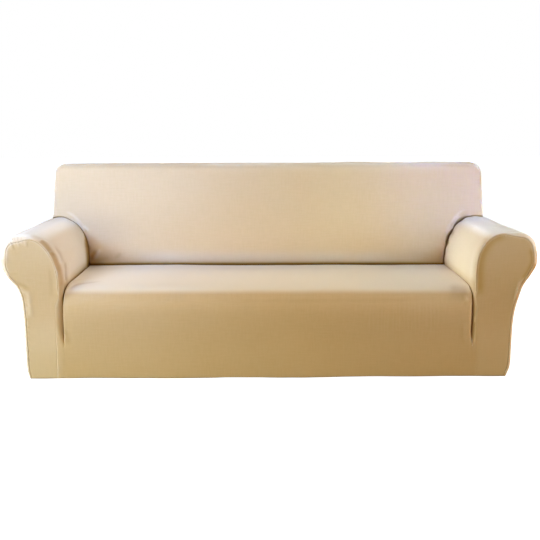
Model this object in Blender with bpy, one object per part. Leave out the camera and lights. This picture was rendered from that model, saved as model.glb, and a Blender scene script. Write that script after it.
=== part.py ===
"""Fitted slipcover for a three-seat sofa with rolled arms.

Seven panels of stretch cloth, each a thin sheet in the shape it takes on the sofa: the seat with its
front drop, the inside back with its top and sides, the outside back, and for each arm a wrap and a
scroll-shaped facing. Sizes are metres. While the panels are worked out, x runs across the sofa, y runs back
from the arm fronts and z runs up from the hem. An empty then carries them so that the origin is under the
middle of the cover's top, where the sofa's back holds the cover up.
"""

import math

import bmesh
import bpy
from mathutils import Vector
from mathutils.geometry import delaunay_2d_cdt

# Cloth
CLOTH = 0.002
GAP = 0.0003
COLOUR = (0.60, 0.43, 0.24, 1.0)
ROUGHNESS = 0.8
WELD = 0.00001

# Seat
SEAT_UP = 0.376
TUCK = 0.040  # how deep the cloth is pushed in round the seat
TUCK_UP = SEAT_UP - TUCK
SEAT_FOLD = 0.028  # width over which the seat cloth bends down into the tuck
SEAT_COLUMNS = 6
SEAT_ROWS = 20

# Back
BACK_FOOT_Y = 0.588  # front of the back where it stands on the seat
BACK_LEAN = 0.17  # run back for each metre up
BACK_CROWN = 0.010
BACK_UNDER = 0.010  # how far the back's foot draws in above the seat
BACK_UNDER_UP = 0.050  # height of that undercut in the middle, and at the ends
BACK_UNDER_UP_ENDS = 0.130
BACK_TUCK = 0.040  # how deep the back cloth runs in beside the arms
BACK_FOLD = 0.034  # width over which the back's face bends into its sides, top and tucks
FAN_RUN = 0.14  # length of the roll over which the back's fold turns towards the corner above the arm
BACK_COLUMNS = 8
BACK_SPACING = 0.12  # between the points on the back's face
TOP_UP = 0.848
TOP_TILT = 0.002  # rise of the top towards the right for each metre
TOP_MIDDLE_Y = 0.770
REAR_Y = 0.875
ARM_FALL_LEFT = 0.014  # drop of the left arm's roll for each metre back
ARM_FALL_RIGHT = 0.026
FALL_FROM_Y = 0.660  # from here to the rear, the arms' rolls and the back's top run down more
ROLL_FALL = 0.14
TOP_FALL = 0.055
SEAT_TO_ROLL = (0.60, 0.82)  # the falls set in between these distances out and these heights
SEAT_UP_TO_ROLL = (0.36, 0.54)
ROLL_TO_BACK = (0.60, 0.74)
BACK_UP_TO_TOP = (0.70, 0.83)

# Arms, edges and hem
EDGE = 0.010  # radius between an arm's outside and its front, and round the rear
FLAT_SEAM = 0.002  # flat cloth between a rounded edge and its seam
SOFT_EDGE_UP = (0.40, 0.50)  # heights between which the outside's edge turns from EDGE to "outer_edge"
INNER_DEPTH = 0.060  # how far back the soft edge reaches on the arm's inner side
INNER_OUT = 0.93  # distance out from which it turns shallow again over the roll
STRIP_ROUND = 0.036  # widest rounding of the narrow front strip beside the seat's drop
STRIP_ROUND_UP = (0.12, 0.30)  # heights between which it widens
FACING_UP = (0.30, 0.36)  # heights between which the facing's seam turns to its place above the seat
HEM_ROLL = 0.007
HEM_RETURN = 0.002
HEM_RISE = 0.0075  # how much higher the hem hangs at the right than at the left, and where it rises
HEM_RISE_RUN = (-0.5, 1.2)
HEM_RISE_UP = 0.10
SOFT_BELOW = 0.02  # the arm's inner front edge is softer from this far below the seat's top
SOFT_ABOVE = 0.20  # to this far above it
CREASE_RUN = 0.080  # height over which the crease beside the seat's drop grows to its full depth
INNER_LOW = 0.380  # heights between which the arm's inner side turns from "toe_low" to "toe_high"
INNER_HIGH = 0.560
SCROLL_LOW = 0.340  # heights between which the outside turns from the plain wall to the scroll
SCROLL_HIGH = 0.440
SCROLL_OUT = 1.060

# Points inside the cover, which tell the panels' outer faces from their inner ones
IN_THE_SEAT = (0.0, 0.30, 0.10)
IN_THE_BACK = (0.0, 0.77, 0.45)
IN_THE_ARM = (0.94, 0.40, 0.40)

# How finely each stretch is cut into flat facets
STRIP_STEPS = 6
INNER_STEPS = 10
OUTER_STEPS = 15
SIDE_STEPS = 4
CORNER_STEPS = 4
ARM_STATIONS = (0.22, 0.42)  # how far back the arm's long cloth has a line of points
EDGE_ANGLES = (0, 32, 62, 90)
FOLD_ANGLES = (90, 70, 48, 24, 0)
HEM_ANGLES = (90, 60, 30, 0)

# The arms. "crease" is the distance from the centre line to the crease at the seat, and the drop lies flush
# with the arm's front below "flush_up". The facing's seam comes no nearer to the centre line than
# "facing_edge" beside the seat's drop and "facing_top" above it. "inner_edge" and "outer_edge" are the radii
# of the arm's front edge inside and outside the scroll. At the back the arm stands nearer the centre line
# than at the front: its inner side by "toe_low" at the seat and "toe_high" at the roll, and its scroll by
# "toe_outer". The roll's top runs straight back from "roll_top" outwards. "back_head" is the back's half
# width below its top corner. The outlines are (out from the centre, up): "inner" from just above the seat to
# where the back's side stands on the roll, and "outer" from there down to the hem.
ARMS = {
    "left": {
        "sign": -1,
        "crease": 0.846,
        "flush_up": 0.130,
        "facing_edge": 0.876,
        "facing_top": 0.858,
        "inner_edge": 0.011,
        "outer_edge": 0.024,
        "toe_low": -0.002,
        "toe_high": 0.008,
        "toe_outer": 0.010,
        "roll_top": 0.885,
        "back_head": 1.005,
        "back_corner": 0.042,
        "inner": (
            (0.846, 0.380),
            (0.848, 0.425),
            (0.857, 0.475),
            (0.877, 0.525),
            (0.911, 0.570),
            (0.953, 0.597),
            (0.992, 0.605),
            (1.019, 0.601),
        ),
        "outer": (
            (1.019, 0.601),
            (1.057, 0.591),
            (1.084, 0.560),
            (1.093, 0.512),
            (1.090, 0.470),
            (1.065, 0.426),
            (1.031, 0.386),
            (1.014, 0.340),
            (1.008, 0.270),
            (1.005, 0.130),
            (1.003, 0.045),
            (0.996, HEM_ROLL),
        ),
    },
    "right": {
        "sign": 1,
        "crease": 0.844,
        "flush_up": 0.135,
        "facing_edge": 0.862,
        "facing_top": 0.850,
        "inner_edge": 0.006,
        "outer_edge": 0.016,
        "toe_low": 0.013,
        "toe_high": -0.007,
        "toe_outer": 0.012,
        "roll_top": 0.930,
        "back_head": 1.004,
        "back_corner": 0.052,
        "inner": (
            (0.844, 0.380),
            (0.843, 0.430),
            (0.845, 0.480),
            (0.855, 0.528),
            (0.877, 0.569),
            (0.915, 0.600),
            (0.964, 0.613),
            (1.014, 0.611),
        ),
        "outer": (
            (1.014, 0.611),
            (1.052, 0.602),
            (1.083, 0.573),
            (1.096, 0.524),
            (1.096, 0.478),
            (1.072, 0.434),
            (1.045, 0.392),
            (1.028, 0.338),
            (1.015, 0.284),
            (1.009, 0.220),
            (1.007, 0.130),
            (1.004, 0.050),
            (0.991, HEM_ROLL),
        ),
    },
}

# The seat's middle, from the rear over the front edge to the hem: (back, up)
SEAT_SECTION = (
    (BACK_FOOT_Y - GAP - SEAT_FOLD, SEAT_UP),
    (0.420, 0.379),
    (0.240, 0.381),
    (0.120, 0.380),
    (0.062, 0.374),
    (0.028, 0.358),
    (0.006, 0.328),
    (-0.003, 0.288),
    (-0.003, 0.230),
    (0.000, 0.160),
    (0.000, 0.080),
    (0.000, HEM_ROLL),
)


def smoothstep(value, low, high):
    share = min(max((value - low) / (high - low), 0.0), 1.0)
    return share * share * (3 - 2 * share)


def smooth_curve(points, pieces=16):
    """A curve through all the points, as short straight pieces, this many between two points."""
    ends = [2 * points[0] - points[1], *points, 2 * points[-1] - points[-2]]
    curve = []
    for a, b, c, d in zip(ends, ends[1:], ends[2:], ends[3:]):
        for piece in range(pieces):
            t = piece / pieces
            bend = (2 * a - 5 * b + 4 * c - d) * t**2 + (3 * b - a - 3 * c + d) * t**3
            curve.append(b + 0.5 * ((c - a) * t + bend))
    return [*curve, points[-1].copy()]


def spaced(curve, steps):
    """The curve again, as this many pieces of equal length."""
    along = [0.0]
    for a, b in zip(curve, curve[1:]):
        along.append(along[-1] + (b - a).length)
    found, at = [], 0
    for step in range(steps + 1):
        wanted = along[-1] * step / steps
        while at < len(curve) - 2 and along[at + 1] < wanted:
            at += 1
        share = (wanted - along[at]) / (along[at + 1] - along[at])
        found.append(curve[at].lerp(curve[at + 1], share))
    return found


def left_normals(line):
    """The unit normal on the left of the direction of travel, at each point of a flat line."""
    ends = [2 * line[0] - line[1], *line, 2 * line[-1] - line[-2]]
    travel = [(c - a).normalized() for a, c in zip(ends, ends[2:])]
    return [Vector((-t.y, t.x)) for t in travel]


def fold(angles, width, depth):
    """A quarter turn, from 0 on the face to 90 at the edge: (in from the edge, sunk from the face)."""
    turns = [math.radians(a) for a in angles]
    return [(width * (1 - math.sin(t)), depth * (1 - math.cos(t))) for t in turns]


def edge_steps(width=EDGE, depth=EDGE, seam=EDGE + FLAT_SEAM):
    """A rounded edge from the seam on the flat face outwards: (in from the edge, back from the face)."""
    return [(seam, 0.0), *fold(EDGE_ANGLES, width, depth)]


def edge_inwards(across, along):
    """The level directions into the cover at the points of a rounded edge, from the face to the side."""
    turns = [math.radians(a) for a in (EDGE_ANGLES[0], *EDGE_ANGLES)]
    return [across * math.sin(t) + along * math.cos(t) for t in turns]


def grid(rows):
    """A surface through rows of points: (points, faces)."""
    across = len(rows[0])
    starts = [j * across + i for j in range(len(rows) - 1) for i in range(across - 1)]
    return [p for row in rows for p in row], [(a, a + 1, a + across + 1, a + across) for a in starts]


def flat_panel(outline):
    """A flat surface inside an outline: (points, faces)."""
    return outline, [range(len(outline))]


def hem(edge, inwards):
    """The turn under along a panel's bottom edge, given the level direction into the cover at each point."""
    steps = [*fold(HEM_ANGLES, HEM_ROLL, HEM_ROLL), (HEM_ROLL + HEM_RETURN, 0.0)]
    rows = []
    for inward, up in steps:
        rows.append([Vector((p.x + d.x * inward, p.y + d.y * inward, up)) for p, d in zip(edge, inwards)])
    return grid(rows)


def back_face(flat):
    """How far back the sofa's back starts: it leans, is fuller in the middle and draws in at its foot."""
    height = max(flat.y - SEAT_UP, 0.0)
    across = math.cos(0.5 * math.pi * min(abs(flat.x), 1.0))
    up = math.sin(math.pi * min(height / (TOP_UP - SEAT_UP), 1.0))
    reach = BACK_UNDER_UP + (BACK_UNDER_UP_ENDS - BACK_UNDER_UP) * smoothstep(abs(flat.x), 0.35, 0.80)
    under = max(1 - height / reach, 0.0) ** 2 * (1 - smoothstep(SEAT_UP - flat.y, 0.0, TUCK))
    return BACK_FOOT_Y + BACK_LEAN * height - BACK_CROWN * across * up + BACK_UNDER * under


class Arm:
    """One arm's outline, worked out as if the arm stood at +x, from the foot of the crease over the roll."""

    def __init__(self, shape):
        self.sign = shape["sign"]
        self.head = shape["back_head"]
        self.corner = shape["back_corner"]
        self.toe_low = shape["toe_low"]
        self.toe_high = shape["toe_high"]
        self.toe_outer = shape["toe_outer"]
        self.crease = shape["crease"]
        self.flush_up = shape["flush_up"]
        self.facing_edge = shape["facing_edge"]
        self.facing_top = shape["facing_top"]
        self.inner_edge = shape["inner_edge"]
        self.outer_edge = shape["outer_edge"]
        self.roll_top = shape["roll_top"]
        strip = spaced([Vector((self.crease, HEM_ROLL)), Vector((self.crease, TUCK_UP))], STRIP_STEPS)
        inner = spaced(smooth_curve([Vector(p) for p in shape["inner"]]), INNER_STEPS)
        outer = spaced(smooth_curve([Vector(p) for p in shape["outer"]]), OUTER_STEPS)
        self.line = [*strip, *inner, *outer[1:]]
        self.normals = [*left_normals(self.line)[:-1], Vector((1, 0))]
        self.tuck = STRIP_STEPS
        self.split = STRIP_STEPS + 1 + INNER_STEPS

    def toe(self, up, y):
        """How much nearer the centre line the arm's inner side stands, this far up and back."""
        share = smoothstep(up, INNER_LOW, INNER_HIGH)
        return (self.toe_low + (self.toe_high - self.toe_low) * share) * y / BACK_FOOT_Y

    def outer_toe(self, flat, y):
        """How much nearer the centre line the scroll stands, this far back."""
        beyond_foot = smoothstep(flat.x, self.line[self.split].x, SCROLL_OUT)
        return self.toe_outer * smoothstep(flat.y, SCROLL_LOW, SCROLL_HIGH) * beyond_foot * y / BACK_FOOT_Y

    def at(self, index, y, out=0.0):
        """The point of the outline this far back, moved out along the outline's normal."""
        flat = self.line[index] + self.normals[index] * out
        if index < self.split:
            fade = 1 - smoothstep(self.line[index].x, self.roll_top, self.line[self.split].x - 0.02)
            flat.x -= self.toe(self.line[index].y, y) * fade
        else:
            flat.x -= self.outer_toe(self.line[index], y)
        return Vector((self.sign * flat.x, y, flat.y))

    def crease_depth(self, up):
        """Depth of the crease between the seat's drop and the arm's front, at a height."""
        return TUCK * smoothstep(up, self.flush_up, self.flush_up + CREASE_RUN)

    def edge_depth(self, index):
        """How far back the arm's front edge reaches before its side runs straight."""
        up = self.line[index].y
        if index <= self.tuck:
            return self.crease_depth(up)
        if index >= self.split:
            return self.edge_radius(index)
        depth = TUCK + (INNER_DEPTH - TUCK) * smoothstep(up, SEAT_UP - SOFT_BELOW, SEAT_UP + SOFT_ABOVE)
        over_roll = smoothstep(self.line[index].x, INNER_OUT, self.line[self.split].x)
        return depth + (self.outer_edge - depth) * over_roll

    def edge_radius(self, index):
        """How softly the arm's front edge is rounded, at the seam."""
        if index >= self.split:
            return EDGE + (self.outer_edge - EDGE) * smoothstep(self.line[index].y, *SOFT_EDGE_UP)
        over_roll = smoothstep(self.line[index].x, INNER_OUT, self.line[self.split].x)
        return self.inner_edge + (self.outer_edge - self.inner_edge) * over_roll

    def edge_width(self, index):
        """How far in from the outline the rounding of the arm's front edge starts."""
        widest = EDGE + (STRIP_ROUND - EDGE) * smoothstep(self.line[index].y, *STRIP_ROUND_UP)
        return min(self.seam_inset(index) - FLAT_SEAM, widest)

    def seam_inset(self, index):
        """How far in from the outline the seam between wrap and facing runs."""
        share = smoothstep(self.line[index].y, *FACING_UP)
        edge = self.facing_edge + (self.facing_top - self.facing_edge) * share
        return max(self.edge_radius(index) + FLAT_SEAM, edge - self.line[index].x)

    def tuck_y(self, index):
        return back_face(self.line[index]) + BACK_TUCK

    def seat_edge(self, y):
        return self.crease - self.toe(SEAT_UP, y) - GAP


def arm_wrap(arm):
    """The arm's rounded front edge, its inner side and roll into the tuck, and its outside to the rear."""
    last = len(arm.line) - 1
    front = []
    for i in range(last + 1):
        steps = edge_steps(arm.edge_width(i), arm.edge_depth(i), arm.seam_inset(i))
        front.append([arm.at(i, y, -inward) for inward, y in steps])

    split_tuck = arm.tuck_y(arm.split)
    inner = []
    for i in range(arm.tuck, arm.split + 1):
        tuck_y = arm.tuck_y(i)
        stations = (arm.edge_depth(i), *ARM_STATIONS, tuck_y - BACK_TUCK, tuck_y)
        inner.append([arm.at(i, y) for y in stations])

    rear_edge = edge_steps()[::-1]
    outer = []
    for i in range(arm.split, last + 1):
        row = [arm.at(i, y) for y in (arm.edge_depth(i), *ARM_STATIONS, split_tuck - BACK_TUCK, split_tuck)]
        for inward, y in rear_edge:
            point = arm.at(i, REAR_Y - y, -inward)
            if i == arm.split:
                point = arm.at(i, REAR_Y - y) - Vector((arm.sign * inward, 0, inward))
            row.append(point)
        outer.append(row)

    sideways, backways = Vector((-arm.sign, 0)), Vector((0, 1))
    front_inwards = edge_inwards(sideways, backways)
    plain = [sideways] * (len(outer[-1]) - len(rear_edge))
    rear_inwards = edge_inwards(sideways, -backways)[::-1]
    hems = [
        hem(front[0], [backways] * len(front[0])),
        hem(front[-1], front_inwards),
        hem(outer[-1], [*plain, *rear_inwards]),
    ]
    return [grid(front), grid(inner), grid(outer), *hems]


def arm_facing(arm):
    """The flat scroll-shaped panel on the front of an arm, up to its seam with the wrap."""
    outline = [arm.at(i, 0.0, -arm.seam_inset(i) - GAP) for i in range(len(arm.line))]
    return [flat_panel(outline), hem([outline[0], outline[-1]], [Vector((0, 1))] * 2)]


def seat_and_drop(arms):
    """The seat cloth, tucked in at the rear and both sides, over the front edge and down to the hem."""
    rear_y = BACK_FOOT_Y - GAP
    tucked = fold(FOLD_ANGLES, SEAT_FOLD, TUCK)
    rows = [(Vector((rear_y - inward, SEAT_UP)), Vector((0, 1)), sunk) for inward, sunk in tucked]
    section = spaced(smooth_curve([Vector(p) for p in SEAT_SECTION]), SEAT_ROWS)
    rows += [(p, -n, 0.0) for p, n in list(zip(section, left_normals(section)))[1:]]
    lines = []
    for flat, normal, rear_sunk in rows:
        sides = []
        for arm in arms.values():
            depth = TUCK
            if flat.y < TUCK_UP:
                depth = arm.crease_depth(flat.y) - flat.x
            side = []
            for inward, sunk in fold(FOLD_ANGLES, SEAT_FOLD, depth):
                place = flat - normal * max(sunk, rear_sunk)
                side.append(Vector((arm.sign * (arm.seat_edge(place.x) - inward), place.x, place.y)))
            sides.append(side)
        left, right = sides[0], sides[1][::-1]
        middle = [left[-1].lerp(right[0], i / SEAT_COLUMNS) for i in range(1, SEAT_COLUMNS)]
        lines.append([*left, *middle, *right])
    return [grid(lines), hem(lines[-1], [Vector((0, 1))] * len(lines[-1]))]


def top_at(x):
    """Height of the back's top at a distance to the right of its middle."""
    return TOP_UP + TOP_TILT * x


def upper_side(arm):
    """The back's outline above an arm and round its top corner: flat points with their outward directions."""
    foot = arm.line[arm.split] + Vector((0, GAP))
    top = top_at(arm.sign)
    centre = Vector((arm.head - arm.corner, top - arm.corner))
    straight = [foot.lerp(Vector((arm.head, centre.y)), i / SIDE_STEPS) for i in range(SIDE_STEPS)]
    outline = [(foot, Vector((1, -1)))] + [(p, Vector((1, 0))) for p in straight[1:]]
    for step in range(CORNER_STEPS + 1):
        turn = math.radians(90 * step / CORNER_STEPS)
        outward = Vector((math.cos(turn), math.sin(turn)))
        outline.append((centre + outward * arm.corner, outward))
    return outline


def back_ring(arms, inward, y_at):
    """One line round the back, from the left arm's crease over the top to the right arm's crease.

    It runs this far in from the back's outline, and y_at gives how far back it is at each flat point.
    """
    halves = []
    for arm in arms.values():
        half = []
        foot_x = arm.line[arm.split].x
        for i in range(arm.tuck, arm.split):
            point = arm.at(i, y_at(arm.line[i]), GAP + inward)
            point.x -= arm.sign * inward * smoothstep(arm.line[i].x, foot_x - FAN_RUN, foot_x)
            half.append(point)
        for flat, outward in upper_side(arm):
            place = flat - outward * inward
            half.append(Vector((arm.sign * place.x, 0, place.y)))
        halves.append(half)
    left, right = halves[0], halves[1][::-1]
    middle = [left[-1].lerp(right[0], i / BACK_COLUMNS) for i in range(1, BACK_COLUMNS)]
    ring = [*left, *middle, *right]
    for point in ring:
        point.y = y_at(Vector((point.x, point.z)))
    return ring


def is_within(point, outline):
    """Whether a flat point lies inside an outline."""
    within = False
    for a, b in zip(outline, [*outline[1:], outline[0]]):
        if (a.y > point.y) != (b.y > point.y):
            within ^= point.x < a.x + (b.x - a.x) * (point.y - a.y) / (b.y - a.y)
    return within


def filled(outline, spacing):
    """Triangles that fill a flat outline, with points this far apart inside it: (flat points, faces)."""
    inner = []
    lattice = math.ceil(max(p.length for p in outline) / spacing)
    for row in range(lattice):
        for column in range(-lattice, lattice):
            point = Vector((column + 0.5 * (row % 2), row)) * spacing
            clear = min((point - p).length for p in outline) > 0.5 * spacing
            if clear and is_within(point, outline):
                inner.append(point)
    count = len(outline)
    edges = [(i, (i + 1) % count) for i in range(count)]
    points, _, faces, *_ = delaunay_2d_cdt([*outline, *inner], edges, [], 1, WELD)
    return points, faces


def inside_back(arms):
    """The back's face, its tucks beside the arms, and its sides and top as far as the rear seam."""
    border = []
    for inward, sunk in fold(FOLD_ANGLES[::-1], BACK_FOLD, BACK_TUCK):
        border.append(back_ring(arms, inward, lambda flat: back_face(flat) + sunk))
    edge = [Vector((p.x, p.z)) for p in border[0]]
    foot = [edge[-1].lerp(edge[0], i / BACK_COLUMNS) for i in range(1, BACK_COLUMNS)]
    points, faces = filled([*edge, *foot], BACK_SPACING)
    face = ([Vector((p.x, back_face(p), p.y)) for p in points], faces)

    beside_arm = INNER_STEPS + 1
    rear = [border[-1][beside_arm:-beside_arm]]
    for inward, y in edge_steps()[::-1]:
        rear.append(back_ring(arms, inward, lambda flat: REAR_Y - y)[beside_arm:-beside_arm])
    return [face, grid(border), grid(rear)]


def outside_back(arms):
    """The flat rear panel inside the seam that runs round each arm, up the back's sides and over its top."""
    inset = EDGE + FLAT_SEAM + GAP
    outline = []
    for arm in arms.values():
        arm_side = [arm.at(i, REAR_Y, -inset) for i in range(len(arm.line) - 1, arm.split, -1)]
        mitre = arm.line[arm.split] - Vector((inset, inset))
        upper = [flat - outward * inset for flat, outward in upper_side(arm)[1:]]
        arm_side += [Vector((arm.sign * p.x, REAR_Y, p.y)) for p in [mitre, *upper]]
        outline.append(arm_side)
    left, right = outline
    return [flat_panel([*left, *right[::-1]]), hem([left[0], right[0]], [Vector((0, -1))] * 2)]


def settled(point):
    """The point, lowered where the rolls and the back's top run down rearwards, raised at the right hem."""
    above_roll = 1 - smoothstep(point.z, *ROLL_TO_BACK)
    roll = smoothstep(abs(point.x), *SEAT_TO_ROLL) * smoothstep(point.z, *SEAT_UP_TO_ROLL) * above_roll
    top = smoothstep(point.z, *BACK_UP_TO_TOP)
    along = ARM_FALL_LEFT if point.x < 0 else ARM_FALL_RIGHT
    behind = max(point.y - FALL_FROM_Y, 0.0)
    rise = HEM_RISE * smoothstep(point.x, *HEM_RISE_RUN) * (1 - smoothstep(point.z, 0.0, HEM_RISE_UP))
    fall = roll * (along * point.y + ROLL_FALL * behind) + top * TOP_FALL * behind
    return point + Vector((0, 0, rise - fall))


def panel(name, surfaces, inside, material, parent):
    """One panel: its outer surfaces welded together, then given the cloth's thickness towards the inside."""
    mesh = bmesh.new()
    for points, faces in surfaces:
        corners = [mesh.verts.new(settled(p)) for p in points]
        for face in faces:
            mesh.faces.new([corners[i] for i in face])
    bmesh.ops.remove_doubles(mesh, verts=mesh.verts, dist=WELD)
    bmesh.ops.recalc_face_normals(mesh, faces=mesh.faces)
    facing_out = sum(f.calc_area() * f.normal.dot(f.calc_center_median() - inside) for f in mesh.faces)
    if facing_out < 0:
        bmesh.ops.reverse_faces(mesh, faces=mesh.faces)
    data = bpy.data.meshes.new(name)
    mesh.to_mesh(data)
    mesh.free()
    data.shade_smooth()
    data.materials.append(material)
    cloth = bpy.data.objects.new(name, data)
    cloth.parent = parent
    bpy.context.scene.collection.objects.link(cloth)
    thicken = cloth.modifiers.new("cloth", "SOLIDIFY")
    thicken.thickness = CLOTH
    thicken.offset = -1
    thicken.use_even_offset = True
    return cloth


def cloth_material(name):
    material = bpy.data.materials.new(name)
    material.use_nodes = True
    shader = material.node_tree.nodes["Principled BSDF"]
    shader.inputs["Base Color"].default_value = COLOUR
    shader.inputs["Roughness"].default_value = ROUGHNESS
    shader.inputs["Metallic"].default_value = 0.0
    return material


def main():
    for obj in list(bpy.data.objects):
        bpy.data.objects.remove(obj)
    arms = {side: Arm(shape) for side, shape in ARMS.items()}
    origin = bpy.data.objects.new("under_the_top", None)
    top = settled(Vector((0, TOP_MIDDLE_Y, TOP_UP)))
    origin.location = Vector((0, 0, CLOTH)) - top
    bpy.context.scene.collection.objects.link(origin)
    in_the_seat = Vector(IN_THE_SEAT)
    shapes = {
        "seat_and_front_drop": (seat_and_drop(arms), in_the_seat),
        "inside_back": (inside_back(arms), Vector(IN_THE_BACK)),
        "outside_back": (outside_back(arms), in_the_seat),
    }
    for side, arm in arms.items():
        in_the_arm = Vector((arm.sign * IN_THE_ARM[0], *IN_THE_ARM[1:]))
        shapes[f"arm_wrap_{side}"] = (arm_wrap(arm), in_the_arm)
        shapes[f"arm_facing_{side}"] = (arm_facing(arm), in_the_arm)
    for name, (surfaces, inside) in shapes.items():
        panel(name, surfaces, inside, cloth_material(f"{name}_cloth"), origin)


main()
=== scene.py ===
"""Fitted slipcover for a three-seat sofa with rolled arms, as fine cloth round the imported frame.

Every panel of the frame is replaced by a thin sheet on the same folds, with its creases, puckers and seams.
Sizes are metres. While a panel is worked out, x runs across the sofa, y runs back from the arm fronts and z
runs up from the hem; the panel is then carried to the frame's own origin.
"""

import math

import bmesh
import bpy
import numpy as np
from mathutils import Matrix, Vector, noise
from mathutils.bvhtree import BVHTree
from mathutils.geometry import delaunay_2d_cdt

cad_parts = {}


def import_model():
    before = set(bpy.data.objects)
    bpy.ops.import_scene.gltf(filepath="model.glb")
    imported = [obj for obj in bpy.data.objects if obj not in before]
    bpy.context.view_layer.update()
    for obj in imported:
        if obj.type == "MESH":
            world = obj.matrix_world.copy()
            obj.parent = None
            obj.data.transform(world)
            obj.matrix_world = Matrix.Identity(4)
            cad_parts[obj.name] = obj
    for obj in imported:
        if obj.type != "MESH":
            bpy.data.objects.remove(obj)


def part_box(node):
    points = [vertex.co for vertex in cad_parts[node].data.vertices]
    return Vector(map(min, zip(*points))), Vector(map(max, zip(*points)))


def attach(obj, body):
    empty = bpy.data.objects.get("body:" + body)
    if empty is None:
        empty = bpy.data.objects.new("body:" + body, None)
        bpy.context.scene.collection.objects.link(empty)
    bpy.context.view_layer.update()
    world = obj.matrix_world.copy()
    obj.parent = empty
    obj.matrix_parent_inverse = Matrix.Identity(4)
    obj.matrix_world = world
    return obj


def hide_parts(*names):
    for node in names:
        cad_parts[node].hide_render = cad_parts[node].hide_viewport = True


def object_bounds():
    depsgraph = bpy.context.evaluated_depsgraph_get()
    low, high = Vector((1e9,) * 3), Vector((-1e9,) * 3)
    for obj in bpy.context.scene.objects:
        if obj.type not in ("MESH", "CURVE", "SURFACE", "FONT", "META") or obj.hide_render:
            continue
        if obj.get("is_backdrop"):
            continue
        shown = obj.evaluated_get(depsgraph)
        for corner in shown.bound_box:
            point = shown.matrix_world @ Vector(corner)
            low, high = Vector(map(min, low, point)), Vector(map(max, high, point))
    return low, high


# Panels
SEAT = "seat_and_front_drop"
BACK = "inside_back"
REAR = "outside_back"
LEFT_WRAP = "arm_wrap_left"
RIGHT_WRAP = "arm_wrap_right"
LEFT_FACING = "arm_facing_left"
RIGHT_FACING = "arm_facing_right"

# Cloth
CLOTH = 0.002
GAP = 0.0003  # between neighbouring panels at their seams
WELD = 0.00001  # points that lie this close become one

# Seat
SEAT_UP = 0.376
TUCK = 0.040  # how deep the cloth is pushed in round the seat
TUCK_UP = SEAT_UP - TUCK
DROP_TO_SEAT = (0.28, 0.36)  # heights over which the fold beside the arms turns from drop to seat
SIDE_TUCKED = (0.022, 0.040)  # depths over which painted shade sets in on the seat's cloth in its folds: at the sides
REAR_TUCKED = (0.0, 0.014)  # and at the rear
SEAT_FOLD = 0.007  # width over which the seat cloth bends down into the tuck at its rear
SEAT_SECTION = (
    (0.575, SEAT_UP),
    (0.420, 0.379),
    (0.240, 0.381),
    (0.120, 0.380),
    (0.062, 0.374),
    (0.028, 0.358),
    (0.006, 0.328),
    (-0.003, 0.288),
    (-0.003, 0.230),
    (0.000, 0.160),
    (0.000, 0.080),
    (0.000, 0.007),
)

# Back
BACK_FOOT_Y = 0.588  # front of the back where it stands on the seat
BACK_LEAN = 0.17  # run back for each metre up
BACK_CROWN = 0.010  # how much fuller it is in the middle
BACK_UNDER = 0.010  # how far the back's foot draws in above the seat
BACK_UNDER_UP = (0.050, 0.130)  # height of that undercut, in the middle and at the ends
BACK_UNDER_OUT = (0.35, 0.80)  # distances out between which the undercut grows from one to the other
FOOT_SHADE = 0.026  # height of the painted shade above the tuck, and of the fainter painted shade at its ends
FOOT_SHADE_ENDS = 0.120
FOOT_END_SHADE = {-1: 0.21, 1: 0.30}  # how strong that painted shade is at its ends, at the left and at the right
FOOT_END_SHADE_OUT = (0.62, 0.84)  # distances out between which it sets in
FOOT_SHADE_FROM = 0.004  # how far below the seat's height the painted shade starts to fade
FOOT_SHADE_POWER = 2.2  # how soon it has faded
BACK_TUCK = 0.040  # how deep the back cloth runs in beside the arms
BACK_FOLD = 0.026  # width over which the back's face bends into its top
SIDE_FOLD = 0.009  # and the same beside the arms and up the back's sides
EARLY_SHADE = 0.40  # how much painted shade the cloth gets as the fold beside the arms starts
EARLY_TURN = 0.35  # the share of the fold's reach over which it gets so
LATE_POWER = 9  # how late it gets the rest
SIDE_SPACING = 0.007  # between the points up the back's sides
CORNER_TURNS = 12
SIDE_FOOT = 0.012  # height over which the back's side gets painted shade above the roll
SHALLOW = 0.7  # how much shallower the fold is up the sides
JUNCTION_FADE = 0.7  # how much less painted shade the back's crease gets over the rolls
JUNCTION_FADES = (0.14, 0.02)  # it fades between these distances before the foot of the back's side
FAN_RUN = 0.08  # length of the roll over which the back's fold turns towards the corner above the arm
TOP_UP = 0.848  # height of the back's top in the middle
TOP_TILT = 0.002  # rise of the top towards the right for each metre
REAR_Y = 0.875  # where the rear panel stands
ARM_FALL = {-1: 0.014, 1: 0.026}  # drop of the rolls for each metre back, at the left and at the right
FALL_FROM_Y = 0.660  # from here to the rear, the arms' rolls and the back's top run down more
ROLL_FALL = 0.14
TOP_FALL = 0.055
SEAT_TO_ROLL = (0.60, 0.82)  # the falls set in between these distances out and these heights
SEAT_UP_TO_ROLL = (0.36, 0.54)
ROLL_TO_BACK = (0.60, 0.74)
BACK_UP_TO_TOP = (0.70, 0.83)
LOBE_RUN = 0.090  # length of each lobe where the back's cloth is pulled in beside the right arm
LOBES_FROM = 0.075  # where the lobes start, from the back's corner round the arm
LOBES_UP = (0.44, 0.50)

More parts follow.
